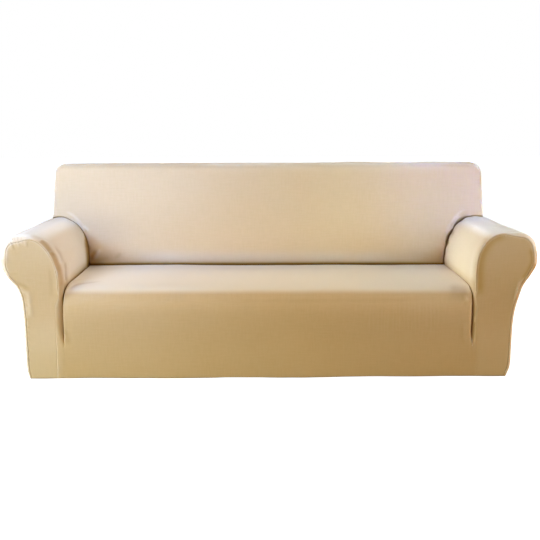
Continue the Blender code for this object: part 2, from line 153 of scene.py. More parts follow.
# Arms, edges and hem
EDGE = 0.010  # radius between an arm's outside and its front, and round the rear
FLAT_SEAM = 0.002  # flat cloth between a rounded edge and its seam
SOFT_EDGE_UP = (0.40, 0.50)  # heights between which the outside's edge turns from EDGE to "outer_edge"
INNER_DEPTH = 0.060  # how far back the soft edge reaches on the arm's inner side
INNER_OUT = 0.93  # distance out from which it turns shallow again over the roll
STRIP_ROUND = 0.036  # widest rounding of the narrow front strip beside the seat's drop
STRIP_ROUND_UP = (0.12, 0.30)  # heights between which it widens
FACING_UP = (0.30, 0.36)  # heights between which the facing's seam turns to its place above the seat
HEM_ROLL = 0.007  # radius of the turn under at the hem
HEM_RETURN = 0.002  # flat cloth past it
HEM_RISE = 0.0075  # how much higher the hem hangs at the right than at the left, and where it rises
HEM_RISE_RUN = (-0.5, 1.2)
HEM_RISE_UP = 0.10
SOFT_BELOW = 0.02  # the arm's inner front edge is softer from this far below the seat's top
SOFT_ABOVE = 0.20  # to this far above it
CREASE_RUN = 0.080  # height over which the crease beside the seat's drop grows to its full depth
SHADE_NARROWS_UP = (0.47, 0.54)  # heights between which the painted shade beside the back's crease narrows
SHADE_HIGH_RUN = 0.012  # to this width
INNER_UP = (0.380, 0.560)  # heights between which the arm's inner side turns from "toe_low" to "toe_high"
SCROLL_UP = (0.340, 0.440)  # heights between which the outside turns from the plain wall to the scroll
SCROLL_OUT = 1.060  # distance out by which the whole of "toe_outer" has set in
SWELL_BEFORE = 0.045  # the arm's cloth swells before the back's crease over this run, and sinks past it
SWELL_PAST = 0.016
SWELL_TOP = (-0.005, -0.003)  # where it stops rising and starts to sink, from the crease
SWELL_FOOT = (0.060, 0.010)  # it dies away between these distances before the foot of the back's side
SWELL_UP = 0.02  # height above the seat over which it sets in
TOE_ENDS = 0.02  # how far before the foot of the back's side the arm's toe has faded
UNDER_SEAT = (-0.016, 0.001)  # heights from the seat's cloth over which the painted shade in the arm's tuck fades
CREASE_SHADE_FROM = 0.4  # the share of the tuck's depth from where painted shade sets in
TO_BACK_POWER = 1.8  # how late painted shade sets in on the arm's cloth on its way into the back's crease

# Each measure at the left arm and at the right one
ARMS = {
    "side": ("left", "right"),
    "sign": (-1, 1),
    "crease": (0.846, 0.844),  # from the centre line to the crease at the seat
    "flush_up": (0.130, 0.135),  # below this height the drop lies flush with the arm's front
    "facing_edge": (0.876, 0.862),  # the facing's seam comes no nearer the centre line beside the drop
    "facing_top": (0.858, 0.850),  # and above it
    "inner_edge": (0.011, 0.006),  # radius of the arm's front edge inside the scroll
    "outer_edge": (0.024, 0.016),  # and outside it
    "toe_low": (-0.002, 0.013),  # how much nearer the centre line its inner side is at the back: by the seat
    "toe_high": (0.008, -0.007),  # and by the roll
    "toe_outer": (0.010, 0.012),  # and the same for its scroll
    "roll_top": (0.885, 0.930),  # from here outwards the roll's top runs straight back
    "swell": (0.006, 0.003),  # how far the cloth stands out beside the back's crease
    "seat_fold": (0.010, 0.005),  # width over which the seat's cloth bends into the crease on top
    "drop_fold": (0.007, 0.018),  # and down the drop
    "lobes": (0.0, 0.014),  # how far the back's cloth is pulled in beside the arm
    "brown_low": (0.085, 0.026),  # run over which painted shade sets in on the arm's cloth towards the back, by the seat
    "drop_brown": (1.0, 0.45),  # how much painted shade the crease gets beside the drop
    "fine": (0.0026, 0.004),  # spacing of the points on the outside
    "back_head": (1.005, 1.004),  # the back's half width below its top corner
    "back_corner": (0.042, 0.052),  # that corner's radius
    # The outline, as (out from the centre, up), from just above the seat to where the back's side stands on
    # the roll, and from there down to the hem
    "inner": (
        ((0.846, 0.38), (0.848, 0.425), (0.857, 0.475), (0.877, 0.525), (0.911, 0.57), (0.953, 0.597),
         (0.992, 0.605), (1.019, 0.601)),
        ((0.844, 0.38), (0.843, 0.43), (0.845, 0.48), (0.855, 0.528), (0.877, 0.569), (0.915, 0.6),
         (0.964, 0.613), (1.014, 0.611)),
    ),
    "outer": (
        ((1.019, 0.601), (1.057, 0.591), (1.084, 0.56), (1.093, 0.512), (1.09, 0.47), (1.065, 0.426),
         (1.031, 0.386), (1.014, 0.34), (1.008, 0.27), (1.005, 0.13), (1.003, 0.045), (0.996, HEM_ROLL)),
        ((1.014, 0.611), (1.052, 0.602), (1.083, 0.573), (1.096, 0.524), (1.096, 0.478), (1.072, 0.434),
         (1.045, 0.392), (1.028, 0.338), (1.015, 0.284), (1.009, 0.22), (1.007, 0.13), (1.004, 0.05),
         (0.991, HEM_ROLL)),
    ),
}

# How finely the cloth is cut: spacings between points, and numbers of steps
FINE = 0.004
MIDDLE = 0.008
COARSE = 0.013
FOLD_TURNS = 10
HEM_TURNS = 6
SEAM_ROWS = (0.0, 0.001, 0.002, 0.0035, 0.0055, 0.008)  # lines of points, in from a flat panel's seam
TOP_COLUMNS = 230
TOP_ROWS = 18
REAR_ROWS = 14
SECTION_SPACING = 0.0065
SEAT_COLUMNS = (1.66, 0.005, 0.0085, 0.35)  # width, fine and coarse spacing, and the run of the fine ones
ARM_COLUMNS = (0.57, 0.0055, 0.012, 0.15)
CURVE_PIECES = 24  # straight pieces between two of a curve's points
SEAM_STEPS = 5  # on the flat cloth between a seam and its rounded edge
TUCK_STEPS = 5  # in the tuck beside the back
CLEAR_OF_EDGE = 0.6  # how far from its edge a filled panel's inner points start, in spacings

# Creases pressed or raised in the cloth: panel, half width, height (troughs are below nought), and the
# points that they run through (across, back, up).
CREASES = (
    # left arm: the taut edge from the scroll down to the crease, the fold behind it and the small pulls
    (LEFT_WRAP, 0.0045, 0.002,
     ((-0.905, 0, 0.54), (-0.873, 0.003, 0.478), (-0.855, 0.006, 0.43), (-0.848, 0.01, 0.39))),
    (LEFT_WRAP, 0.018, -0.006, ((-0.86, 0.15, 0.475), (-0.852, 0.125, 0.425), (-0.846, 0.1, 0.385))),
    (LEFT_WRAP, 0.016, 0.004, ((-0.86, 0.2, 0.475), (-0.852, 0.17, 0.425), (-0.846, 0.145, 0.385))),
    (LEFT_WRAP, 0.012, 0.0022,
     ((-0.86, 0.06, 0.44), (-0.85, 0.045, 0.41), (-0.846, 0.03, 0.37), (-0.846, 0.02, 0.34))),
    (LEFT_WRAP, 0.022, -0.003, ((-0.895, 0.09, 0.55), (-0.87, 0.11, 0.51), (-0.856, 0.11, 0.46))),
    (LEFT_WRAP, 0.0045, 0.004, ((-0.93, 0, 0.575), (-0.925, 0.02, 0.58), (-0.915, 0.06, 0.573))),
    (LEFT_WRAP, 0.005, 0.0045, ((-0.892, 0, 0.531), (-0.88, 0.02, 0.535), (-0.868, 0.05, 0.518))),
    (LEFT_WRAP, 0.008, -0.0024, ((-0.89, 0.01, 0.52), (-0.876, 0.03, 0.52), (-0.864, 0.06, 0.5))),
    (LEFT_WRAP, 0.012, -0.0018, ((-0.96, 0.01, 0.597), (-0.935, 0.05, 0.585), (-0.905, 0.11, 0.56))),
    # left scroll: pulls below its top seam, and the folds under it
    (LEFT_FACING, 0.0045, 0.0013, ((-1.052, 0, 0.572), (-1.042, 0, 0.56), (-1.038, 0, 0.54))),
    (LEFT_FACING, 0.0055, -0.0012, ((-1.04, 0, 0.575), (-1.03, 0, 0.56), (-1.026, 0, 0.54))),
    (LEFT_FACING, 0.0045, 0.0011, ((-1.022, 0, 0.586), (-1.013, 0, 0.572), (-1.01, 0, 0.552))),
    (LEFT_FACING, 0.008, 0.0016, ((-0.992, 0, 0.594), (-0.984, 0, 0.578), (-0.982, 0, 0.556))),
    (LEFT_FACING, 0.004, -0.0012, ((-0.978, 0, 0.594), (-0.973, 0, 0.575), (-0.974, 0, 0.552))),
    (LEFT_FACING, 0.01, 0.003, ((-1.07, 0, 0.56), (-1.074, 0, 0.52), (-1.07, 0, 0.48))),
    (LEFT_FACING, 0.008, -0.0022, ((-1.06, 0, 0.436), (-1.02, 0, 0.404), (-0.962, 0, 0.376))),
    (LEFT_FACING, 0.011, 0.0022, ((-1.022, 0, 0.388), (-0.992, 0, 0.368), (-0.966, 0, 0.36))),
    (LEFT_FACING, 0.006, -0.0012, ((-1.07, 0, 0.452), (-1.045, 0, 0.446), (-1.015, 0, 0.45))),
    (LEFT_FACING, 0.012, 0.003, ((-0.985, 0, 0.372), (-0.98, 0, 0.33), (-0.975, 0, 0.25))),
    (LEFT_FACING, 0.005, -0.0012, ((-1, 0, 0.325), (-0.986, 0, 0.312), (-0.974, 0, 0.306))),
    (LEFT_FACING, 0.009, -0.0014, ((-0.886, 0, 0.48), (-0.883, 0, 0.42), (-0.882, 0, 0.34))),
    # left end of the seat
    (SEAT, 0.012, -0.0025, ((-0.842, 0, 0.215), (-0.83, 0, 0.19), (-0.818, 0, 0.145))),
    (SEAT, 0.012, 0.0035, ((-0.843, 0.065, 0.378), (-0.812, 0.19, 0.378), (-0.74, 0.268, 0.378))),
    (SEAT, 0.015, -0.003, ((-0.838, 0.03, 0.365), (-0.8, 0.11, 0.378), (-0.7, 0.17, 0.378))),
    (SEAT, 0.008, 0.0035, ((-0.84, 0.035, 0.365), (-0.814, 0.13, 0.378), (-0.79, 0.16, 0.378))),
    # left end of the back
    (BACK, 0.0045, -0.004, ((-0.884, 0.618, 0.556), (-0.866, 0.616, 0.54), (-0.85, 0.614, 0.527))),
    (BACK, 0.007, 0.004, ((-0.876, 0.618, 0.562), (-0.856, 0.616, 0.546), (-0.842, 0.614, 0.53))),
    (BACK, 0.006, -0.005, ((-0.842, 0.592, 0.396), (-0.828, 0.595, 0.42), (-0.812, 0.6, 0.45))),
    (BACK, 0.008, 0.004, ((-0.826, 0.592, 0.396), (-0.808, 0.595, 0.424), (-0.786, 0.6, 0.456))),
    (BACK, 0.01, -0.0035, ((-0.82, 0.592, 0.388), (-0.78, 0.595, 0.402), (-0.74, 0.6, 0.412))),
    (BACK, 0.008, -0.003, ((-0.728, 0.592, 0.4), (-0.712, 0.595, 0.414), (-0.692, 0.6, 0.432))),
    (BACK, 0.008, -0.009, ((-1.014, 0.665, 0.68), (-1.008, 0.658, 0.64), (-1, 0.65, 0.607))),
    # right end of the seat, beside the crease
    (SEAT, 0.006, 0.0022, ((0.806, 0.01, 0.364), (0.816, 0, 0.346), (0.82, 0, 0.322))),
    (SEAT, 0.008, -0.0014, ((0.796, 0.01, 0.352), (0.806, 0, 0.33), (0.808, 0, 0.3))),
    (SEAT, 0.007, 0.0012, ((0.81, 0, 0.25), (0.814, 0, 0.184), (0.826, 0, 0.14))),
    (SEAT, 0.009, -0.0009, ((0.794, 0, 0.24), (0.8, 0, 0.184), (0.812, 0, 0.128))),
    (SEAT, 0.045, -0.004, ((0.74, 0.06, 0.378), (0.8, 0.04, 0.37), (0.843, 0.02, 0.35))),
    (RIGHT_WRAP, 0.004, 0.005, ((0.85, 0, 0.266), (0.847, 0, 0.25), (0.851, 0, 0.232))),
    (RIGHT_WRAP, 0.004, 0.003, ((0.854, 0, 0.243), (0.853, 0, 0.19), (0.856, 0, 0.14))),
    # right end of the back and arm
    (RIGHT_WRAP, 0.004, 0.0026, ((0.876, 0, 0.556), (0.866, 0.01, 0.56), (0.862, 0.035, 0.548))),
    (RIGHT_WRAP, 0.004, 0.0026, ((0.89, 0, 0.573), (0.88, 0.012, 0.575), (0.874, 0.04, 0.566))),
    (RIGHT_FACING, 0.005, 0.005, ((1.03, 0, 0.425), (1.022, 0, 0.385), (1.008, 0, 0.32))),
    # the rim of the lobes beside the right arm
    (BACK, 0.0045, 0.004,
     ((0.945, 0.62, 0.634), (0.905, 0.615, 0.622), (0.868, 0.612, 0.582), (0.846, 0.608, 0.548),
      (0.834, 0.604, 0.515))),
    # the light edge above the left arm
    (BACK, 0.006, 0.0036,
     ((-0.96, 0.62, 0.632), (-0.915, 0.615, 0.606), (-0.878, 0.612, 0.566), (-0.862, 0.608, 0.53))),
    # the press line under the seat's roll
    (SEAT, 0.007, -0.0013, ((-0.3, 0, 0.333), (0.13, 0, 0.332), (0.54, 0, 0.336), (0.8, 0, 0.345))),
)
CREASE_TAPER = 0.3  # the share of a line over which it fades at either end
CREASE_UNEVEN = (0.35, 25)  # how much its height varies, and how often in a metre
LINE_SPACING = 0.003
REACH = 3  # half widths of a line beyond which it no longer shows

# Bands of painted shade, or of painted highlight where the share is below nought: panel, half width, share,
# points
PAINTED_LIGHT_BANDS = (
    (RIGHT_FACING, 0.018, 0.4,
     ((0.866, 0, 0.34), (0.864, 0, 0.48), (0.884, 0, 0.545), (0.925, 0, 0.588), (0.98, 0, 0.596))),
    (RIGHT_WRAP, 0.045, -0.22,
     ((0.85, 0.04, 0.4), (0.85, 0.03, 0.48), (0.866, 0.02, 0.545), (0.89, 0.015, 0.58))),
    (RIGHT_FACING, 0.008, 0.45, ((1.062, 0, 0.55), (1.075, 0, 0.5), (1.06, 0, 0.452), (1.036, 0, 0.412))),
    (RIGHT_WRAP, 0.011, 1.1,
     ((1.095, 0.004, 0.488), (1.08, 0.004, 0.446), (1.058, 0.004, 0.412), (1.04, 0.004, 0.38))),
    (LEFT_FACING, 0.012, -0.4,
     ((-1.074, 0, 0.5), (-1.058, 0, 0.555), (-1.02, 0, 0.578), (-0.97, 0, 0.582))),
    (LEFT_WRAP, 0.024, -0.45,
     ((-1.088, 0.01, 0.5), (-1.066, 0.01, 0.578), (-1.01, 0.01, 0.602), (-0.955, 0.01, 0.595))),
    (RIGHT_WRAP, 0.018, -0.6,
     ((0.95, 0.008, 0.61), (1.03, 0.008, 0.606), (1.075, 0.008, 0.575), (1.095, 0.008, 0.53))),
    (BACK, 0.035, -0.45, ((-0.4, 0.7, 0.838), (0.3, 0.7, 0.842), (0.96, 0.7, 0.836))),
    (BACK, 0.028, -0.22, ((-0.64, 0.595, 0.415), (0, 0.595, 0.408), (0.64, 0.595, 0.408))),
    (LEFT_WRAP, 0.02, 0.2,
     ((-0.948, 0.02, 0.59), (-0.892, 0.025, 0.54), (-0.866, 0.03, 0.48), (-0.853, 0.03, 0.43))),
    (LEFT_WRAP, 0.03, 0.22, ((-0.86, 0.05, 0.48), (-0.85, 0.045, 0.43), (-0.846, 0.035, 0.385))),
)
LIGHT_BAND_TAPER = 0.15
FULL_HIGHLIGHT_HEIGHT = 0.004  # height at which a ridge gets its full painted highlight

# Gathers across a line on the cloth: panel, reach to either side, spacing, height, points of the line
GATHERS = (
    (LEFT_WRAP, 0.016, 0.0115, 0.0012,
     ((-1.075, 0, 0.555), (-1.05, 0, 0.58), (-1.01, 0, 0.597), (-0.96, 0, 0.59))),
    (LEFT_FACING, 0.012, 0.014, 0.0007,
     ((-1.062, 0, 0.55), (-1.04, 0, 0.572), (-1.005, 0, 0.583), (-0.96, 0, 0.582))),
    (LEFT_WRAP, 0.01, 0.028, 0.001,
     ((-1.012, 0, 0.35), (-1.003, 0, 0.27), (-0.998, 0, 0.13), (-0.996, 0, 0.03))),
    (LEFT_FACING, 0.008, 0.028, 0.0011,
     ((-1, 0, 0.35), (-0.992, 0, 0.27), (-0.988, 0, 0.13), (-0.986, 0, 0.03))),
    (RIGHT_WRAP, 0.022, 0.062, 0.0028,
     ((0.995, 0.62, 0.605), (0.93, 0.62, 0.6), (0.88, 0.6, 0.575), (0.852, 0.59, 0.53),
      (0.83, 0.59, 0.47), (0.825, 0.58, 0.4))),
    (BACK, 0.018, 0.07, 0.0022,
     ((0.96, 0.63, 0.603), (0.9, 0.62, 0.585), (0.862, 0.61, 0.545), (0.836, 0.6, 0.49))),
    (RIGHT_FACING, 0.006, 0.007, 0.0012, ((0.945, 0, 0.59), (0.965, 0, 0.595), (0.99, 0, 0.594))),
    (SEAT, 0.07, 0.016, 0.0004, ((0.35, 0, 0.26), (0.6, 0, 0.262), (0.76, 0, 0.265))),
)
GATHER_TAPER = 0.2
GATHER_REACH = 2.5
GATHER_SHIFT = 0.45  # how unevenly gathers are spaced
GATHER_UNEVEN = (0.5, 0.6)  # how much their height varies, and how often in a gather
GATHER_SEEDS = (0.5, 7.5)  # added to a row's number for the noise in its spacing and in its height

SLACK = ((0.28, 0.0030), (0.07, 0.0006))  # gentle unevenness of the cloth: its scale and height

SEAM_FADE = (0.33, 0.375)  # heights between which the seam on the arm's inner front edge comes to show
SEAM_SUNK = 0.0010  # depth and half width of a seam's groove
SEAM_HALF = 0.0012
SEAM_RIDGE_AT = 0.0035  # place, half width and height of the raised cloth beside it
SEAM_RIDGE_HALF = 0.0020
SEAM_RIDGE_WRAP = 0.0012  # on the wraps and the inside back
SEAM_RIDGE_FLAT = 0.0004  # on the flat panels
SEAM_HIGHLIGHT = 0.5  # how much painted highlight the raised cloth beside a seam gets
SEAM_HIDDEN = 0.01  # added to the seam distance where a seam doesn't show
TUCKED_FLAT = 0.8  # how much flatter the relief is where the cloth is tucked in

# Points inside the cover, which tell the panels' outer faces from their inner ones
IN_THE_SEAT = (0.0, 0.30, 0.10)
IN_THE_BACK = (0.0, 0.77, 0.45)
IN_THE_LEFT_ARM = (-0.94, 0.40, 0.40)
IN_THE_RIGHT_ARM = (0.94, 0.40, 0.40)

# The size that each panel is cut to: width, length and area
FLAT_SIZES = {
    SEAT: (1.76, 1.04, 1.75),
    BACK: (2.06, 0.86, 1.45),
    REAR: (2.16, 0.84, 1.64),
    LEFT_WRAP: (1.40, 0.96, 0.95),
    RIGHT_WRAP: (1.40, 0.96, 0.95),
    LEFT_FACING: (0.26, 0.60, 0.095),
    RIGHT_FACING: (0.26, 0.60, 0.095),
}

# Cloth surface
SLUBS = 18.0  # slubs to the metre along a thread
SLUB_STRETCH = 9.0  # how many times as close they are across it
BLOTCHES = 5.0
BLOTCH_DETAIL = 3.0
SLUB_DARK = (0.635, 0.47, 0.288, 1)
SLUB_LIGHT = (0.665, 0.498, 0.315, 1)
BLOTCH_COLOUR = (0.68, 0.515, 0.34, 1)
BLOTCH_SHARE = 0.35
# Painted light on the panels: how much paler a painted highlight makes them where they face the centre line,
# outwards and up, and low on the arms; and how much browner painted shade makes them high on the arms'
# fronts
PAINTED_LIGHT_SHARES = {
    LEFT_WRAP: (0.62, 0.35, 0.75, 0.20, 0.0),
    RIGHT_WRAP: (0.36, 0.40, 1.0, 0.12, 0.0),
    LEFT_FACING: (0.0, 0.0, 0.0, 0.20, 0.22),
    RIGHT_FACING: (0.0, 0.0, 0.0, 0.12, 0.25),
    BACK: (0.0, 0.50, 0.20, 0.0, 0.0),
    SEAT: (0.0, 0.0, 0.85, 0.0, 0.0),
}
INNER_FACING = (0.0, 2 / 3)  # how squarely the cloth faces inwards, outwards or up before its painted highlight is full
OUTER_FACING = (0.0, 0.5)
UP_FACING = (2 / 3, 1.0)
INNER_HIGHLIGHT_UP = (0.37, 0.42)  # heights, and distances back, over which the arm's inner side takes its painted highlight
INNER_HIGHLIGHT_BACK = (0.01, 0.08)
OUTER_HIGHLIGHT_BACK = (0.08, 0.33)  # distances back over which the painted highlight on its outer side fades to the cloth's own golden
# heights, and distances out, of the painted highlight low on the arms
LOW_HIGHLIGHT_UP = (0.10, 0.40)
LOW_HIGHLIGHT_OUT = (0.845, 0.885)
# heights over which painted shade sets in high on the arms' fronts
HIGH_SHADE_UP = (0.15, 0.45)
# the colour of the painted highlight
PAINTED_HIGHLIGHT_COLOUR = (0.93, 0.87, 0.81, 1)
# Painted light on the creases: a painted highlight on the ridges and painted shade in the troughs
RIDGE_HIGHLIGHT_COLOUR = (0.86, 0.76, 0.64, 1)
RIDGE_HIGHLIGHT_SHARE = 0.40
TROUGH_SHADE_COLOUR = (0.38, 0.24, 0.09, 1)
TROUGH_SHADE_SHARE = 0.35
SHADE_COLOUR = (0.42, 0.25, 0.05, 1)  # painted shade: on the way down into a tuck, in the browner bands and along the seams
SHADE_SHARE = 0.85
# the deepest painted shade, far down in the tucks
DEEP_SHADE_COLOUR = (0.16, 0.065, 0.004, 1)
DEEP_SHADE_SHARE = 0.95
SLUB_RANGE = (0.75, 1.25)
BLOTCH_RANGE = (0.3, 0.7)
SHADE_RANGE = (0.0, 0.5)  # how tucked the cloth is as painted shade sets in, and as the deeper painted shade does
DEEP_SHADE_RANGE = (0.25, 0.85)
# painted shade along each seam's groove: its run from the seam, and its share
SEAM_SHADE_RUN = 0.0016
SEAM_SHADE_SHARE = 0.45
ROUGHNESS = (0.55, 0.70)
SPECULAR = 0.08
SHEEN = 0.12
SHEEN_ROUGHNESS = 0.45
SHEEN_TINT = (1, 0.97, 0.95, 1)
RIB_SPACING = 0.0016
COURSE_SPACING = 0.0012
RIB_SHAPE = {"Distortion": 0.6, "Detail Scale": 3.0}
WAVES_TO_SCALE = math.pi / 10  # spacing of a wave texture's waves when its scale is 1
RIB_SHARE = 0.35  # how strong ribs and courses are beside the slubs
THREAD = 0.0004  # height of the threads, and how strongly they shade the cloth
THREAD_STRENGTH = 0.3

# Stage, in the cover's own measures from the floor under the arm fronts: name, place, target, size,
# spread in degrees, watts and colour. The watts and colours were matched to the photograph's.
LIGHTS = (
    ("left_low", (-2.6, -3.4, 0.6), (-0.5, 0.3, 0.25), (1.8, 0.8), 180, 32.9, (1, 0.9, 0.25)),
    ("right_side", (3.8, -0.6, 1.4), (0.3, 0.4, 0.4), (1.6, 1.6), 180, 72, (0.93, 1, 0.8)),
    ("spot_left", (-2, -3, 2.2), (-0.8, 0.7, 0.85), (1, 0.6), 26, 1.29, (0, 0.25, 1)),
    ("spot_right", (2, -3, 2.2), (0.8, 0.7, 0.85), (1, 0.6), 26, 2.73, (0.48, 0.74, 1)),
    ("spot_far_left", (-2.7, -2.8, 1.8), (-0.8, 0.7, 0.75), (1, 0.6), 26, 4.2, (0.3, 0.52, 1)),
    ("far_left_near", (-1.9, -0.5, 1.8), (-0.9, 0.6, 0.6), (0.8, 0.8), 180, 20.4, (0.96, 1, 0.92)),
    ("top_rear", (0, 2, 2.8), (0, 0.6, 0.5), (3, 1.2), 180, 38.6, (1, 0.85, 0.59)),
    ("seat_front", (0, -3.6, 2.6), (0, 0.3, 0.4), (2.2, 0.4), 30, 0.441, (1, 0.21, 0)),
    ("scroll_right", (2.8, -0.2, 0.35), (1.05, 0, 0.45), (0.6, 0.6), 60, 1.38, (1, 0.19, 0)),
    ("scroll_left", (-2.8, -0.2, 0.35), (-1.05, 0, 0.45), (0.6, 0.6), 60, 4.5, (0.76, 0.82, 1)),
    ("mid_high", (0, -2.4, 3.2), (0, 0.5, 0.5), (2.6, 0.8), 180, 3.24, (1, 0, 0)),
    ("spot_rr", (-1.2, -3, 2.4), (1, 0.7, 0.75), (0.4, 0.4), 12, 0.798, (0.14, 0.2, 1)),
    ("low_front_left", (-1.2, -2.2, 0.12), (-0.9, 0, 0.12), (1, 0.2), 180, 20.8, (0.97, 1, 0.72)),
    ("low_front_right", (1.6, -2.2, 0.12), (0.9, 0, 0.12), (0.8, 0.2), 180, 7.71, (1, 0.46, 0)),
    ("over_left", (-2.8, 0.3, 1.5), (0.86, 0.3, 0.48), (0.3, 0.3), 14, 0.521, (0.82, 1, 0.96)),
    ("over_right", (2.8, 0.3, 1.5), (-0.86, 0.3, 0.48), (0.3, 0.3), 14, 0.233, (0.58, 0.71, 1)),
    ("rear", (0, 4.8, 0.75), (0, 0.88, 0.45), (2.6, 1.2), 70, 22, (1, 0.94, 0.84)),
    ("seat_top", (0, -0.1, 3.2), (0, 0.28, 0.38), (1.5, 0.3), 18, 0.234, (1, 0.61, 0)),
)
WHITE = (1, 1, 1, 1)
FLOOR_LOOK = {
    "Base Color": (0.9, 0.9, 0.9, 1),
    "Roughness": 1.0,
    "Specular IOR Level": 0.0,
    "Emission Color": WHITE,
    "Emission Strength": 1.1,
}
FLOOR_HALF = 14.0
FLOOR_BELOW = 0.001  # how far under the hem the floor lies

CAMERA_SENSOR = 36.0  # in millimetres, as the lens is
CAMERA_LENS = 62.3
CAMERA_PLACE = (0.0078, -3.7446, 1.1423)
CAMERA_TILT = 0.1807  # in radians
CAMERA_ROLL = 0.0021


def smoothstep(value, low, high):
    share = min(max((value - low) / (high - low), 0.0), 1.0)
    return share * share * (3 - 2 * share)


def blend(start, end, share):
    return start + (end - start) * share


def smooth_curve(points):
    """A curve through all the points, as short straight pieces."""
    points = [Vector(p) for p in points]
    ends = [2 * points[0] - points[1], *points, 2 * points[-1] - points[-2]]
    curve = []
    for a, b, c, d in zip(ends, ends[1:], ends[2:], ends[3:]):
        for piece in range(CURVE_PIECES):
            t = piece / CURVE_PIECES
            bend = (2 * a - 5 * b + 4 * c - d) * t**2 + (3 * b - a - 3 * c + d) * t**3
            curve.append(b + 0.5 * ((c - a) * t + bend))
    return [*curve, points[-1].copy()]


def lengths(curve):
    """The distance along a curve to each of its points."""
    along = [0.0]
    for a, b in zip(curve, curve[1:]):
        along.append(along[-1] + (b - a).length)
    return along


def spaced(curve, spacing):
    """The curve again, as pieces of equal length, about this long."""
    along = lengths(curve)
    steps = max(round(along[-1] / spacing), 1)
    found, at = [], 0
    for step in range(steps + 1):
        wanted = along[-1] * step / steps
        while at < len(curve) - 2 and along[at + 1] < wanted:
            at += 1
        share = (wanted - along[at]) / (along[at + 1] - along[at])
        found.append(curve[at].lerp(curve[at + 1], share))
    return found


def left_normals(line):
    """The unit normal on the left of the direction of travel, at each point of a flat line."""
    ends = [2 * line[0] - line[1], *line, 2 * line[-1] - line[-2]]
    travel = [(c - a).normalized() for a, c in zip(ends, ends[2:])]
    return [Vector((-t.y, t.x)) for t in travel]


def turns(count):
    """Angles of a quarter turn, from 0 on the face to 90 degrees at the edge."""
    return [0.5 * math.pi * i / count for i in range(count + 1)]


def shares(count):
    return [i / count for i in range(count + 1)]


def graded(length, fine, coarse, run):
    """Places along a length, as shares: fine steps over a run at both ends and coarse ones between."""
    ends = max(round(run / fine), 1)
    between = max(round((length - 2 * run) / coarse), 1)
    start = [run * i / ends for i in range(ends)]
    middle = [run + (length - 2 * run) * i / between for i in range(between)]
    finish = [length - run + run * i / ends for i in range(ends + 1)]
    return [place / length for place in [*start, *middle, *finish]]


FOLD = turns(FOLD_TURNS)
LONG_SHARES = graded(*ARM_COLUMNS)
TUCK_SHARES = shares(TUCK_STEPS)[1:]
FAR = 1.0  # the seam distance of points that are near no seam


def seat_height(y):
    """Height of the seat's cloth this far back from the arm fronts."""
    return float(np.interp(y, *zip(*[(back, up) for back, up in SEAT_SECTION[6::-1]])))


def flat_seam(up):
    """What is added to the seam distance low on the arm fronts, where the seam hardly shows."""
    return SEAM_HIDDEN * (1 - smoothstep(up, *SEAM_FADE))


def back_face(flat):
    """How far back the sofa's back starts: it leans, is fuller in the middle and draws in at its foot."""
    height = max(flat.y - SEAT_UP, 0.0)
    across = math.cos(0.5 * math.pi * min(abs(flat.x), 1.0))
    up = math.sin(math.pi * min(height / (TOP_UP - SEAT_UP), 1.0))
    reach = blend(*BACK_UNDER_UP, smoothstep(abs(flat.x), *BACK_UNDER_OUT))
    under = max(1 - height / reach, 0.0) ** 2 * (1 - smoothstep(SEAT_UP - flat.y, 0.0, TUCK))
    return BACK_FOOT_Y + BACK_LEAN * height - BACK_CROWN * across * up + BACK_UNDER * under


def painted_foot_shade(x, up):
    """How much painted shade the back's cloth gets above the tuck, from 0 to 1."""
    most = FOOT_END_SHADE[-1 if x < 0 else 1]
    low_down = 1 - smoothstep(up, SEAT_UP, SEAT_UP + FOOT_SHADE_ENDS)
    ends = most * smoothstep(abs(x), *FOOT_END_SHADE_OUT) * low_down
    near_tuck = 1 - smoothstep(up, SEAT_UP - FOOT_SHADE_FROM, SEAT_UP + FOOT_SHADE)
    return max(near_tuck**FOOT_SHADE_POWER, ends)


def settled(point):
    """The point, lowered where the rolls and the back's top run down rearwards, raised at the right hem."""
    above_roll = 1 - smoothstep(point.z, *ROLL_TO_BACK)
    roll = smoothstep(abs(point.x), *SEAT_TO_ROLL) * smoothstep(point.z, *SEAT_UP_TO_ROLL) * above_roll
    top = smoothstep(point.z, *BACK_UP_TO_TOP)
    along = ARM_FALL[-1 if point.x < 0 else 1]
    behind = max(point.y - FALL_FROM_Y, 0.0)
    rise = HEM_RISE * smoothstep(point.x, *HEM_RISE_RUN) * (1 - smoothstep(point.z, 0.0, HEM_RISE_UP))
    fall = roll * (along * point.y + ROLL_FALL * behind) + top * TOP_FALL * behind
    return point + Vector((0, 0, rise - fall))


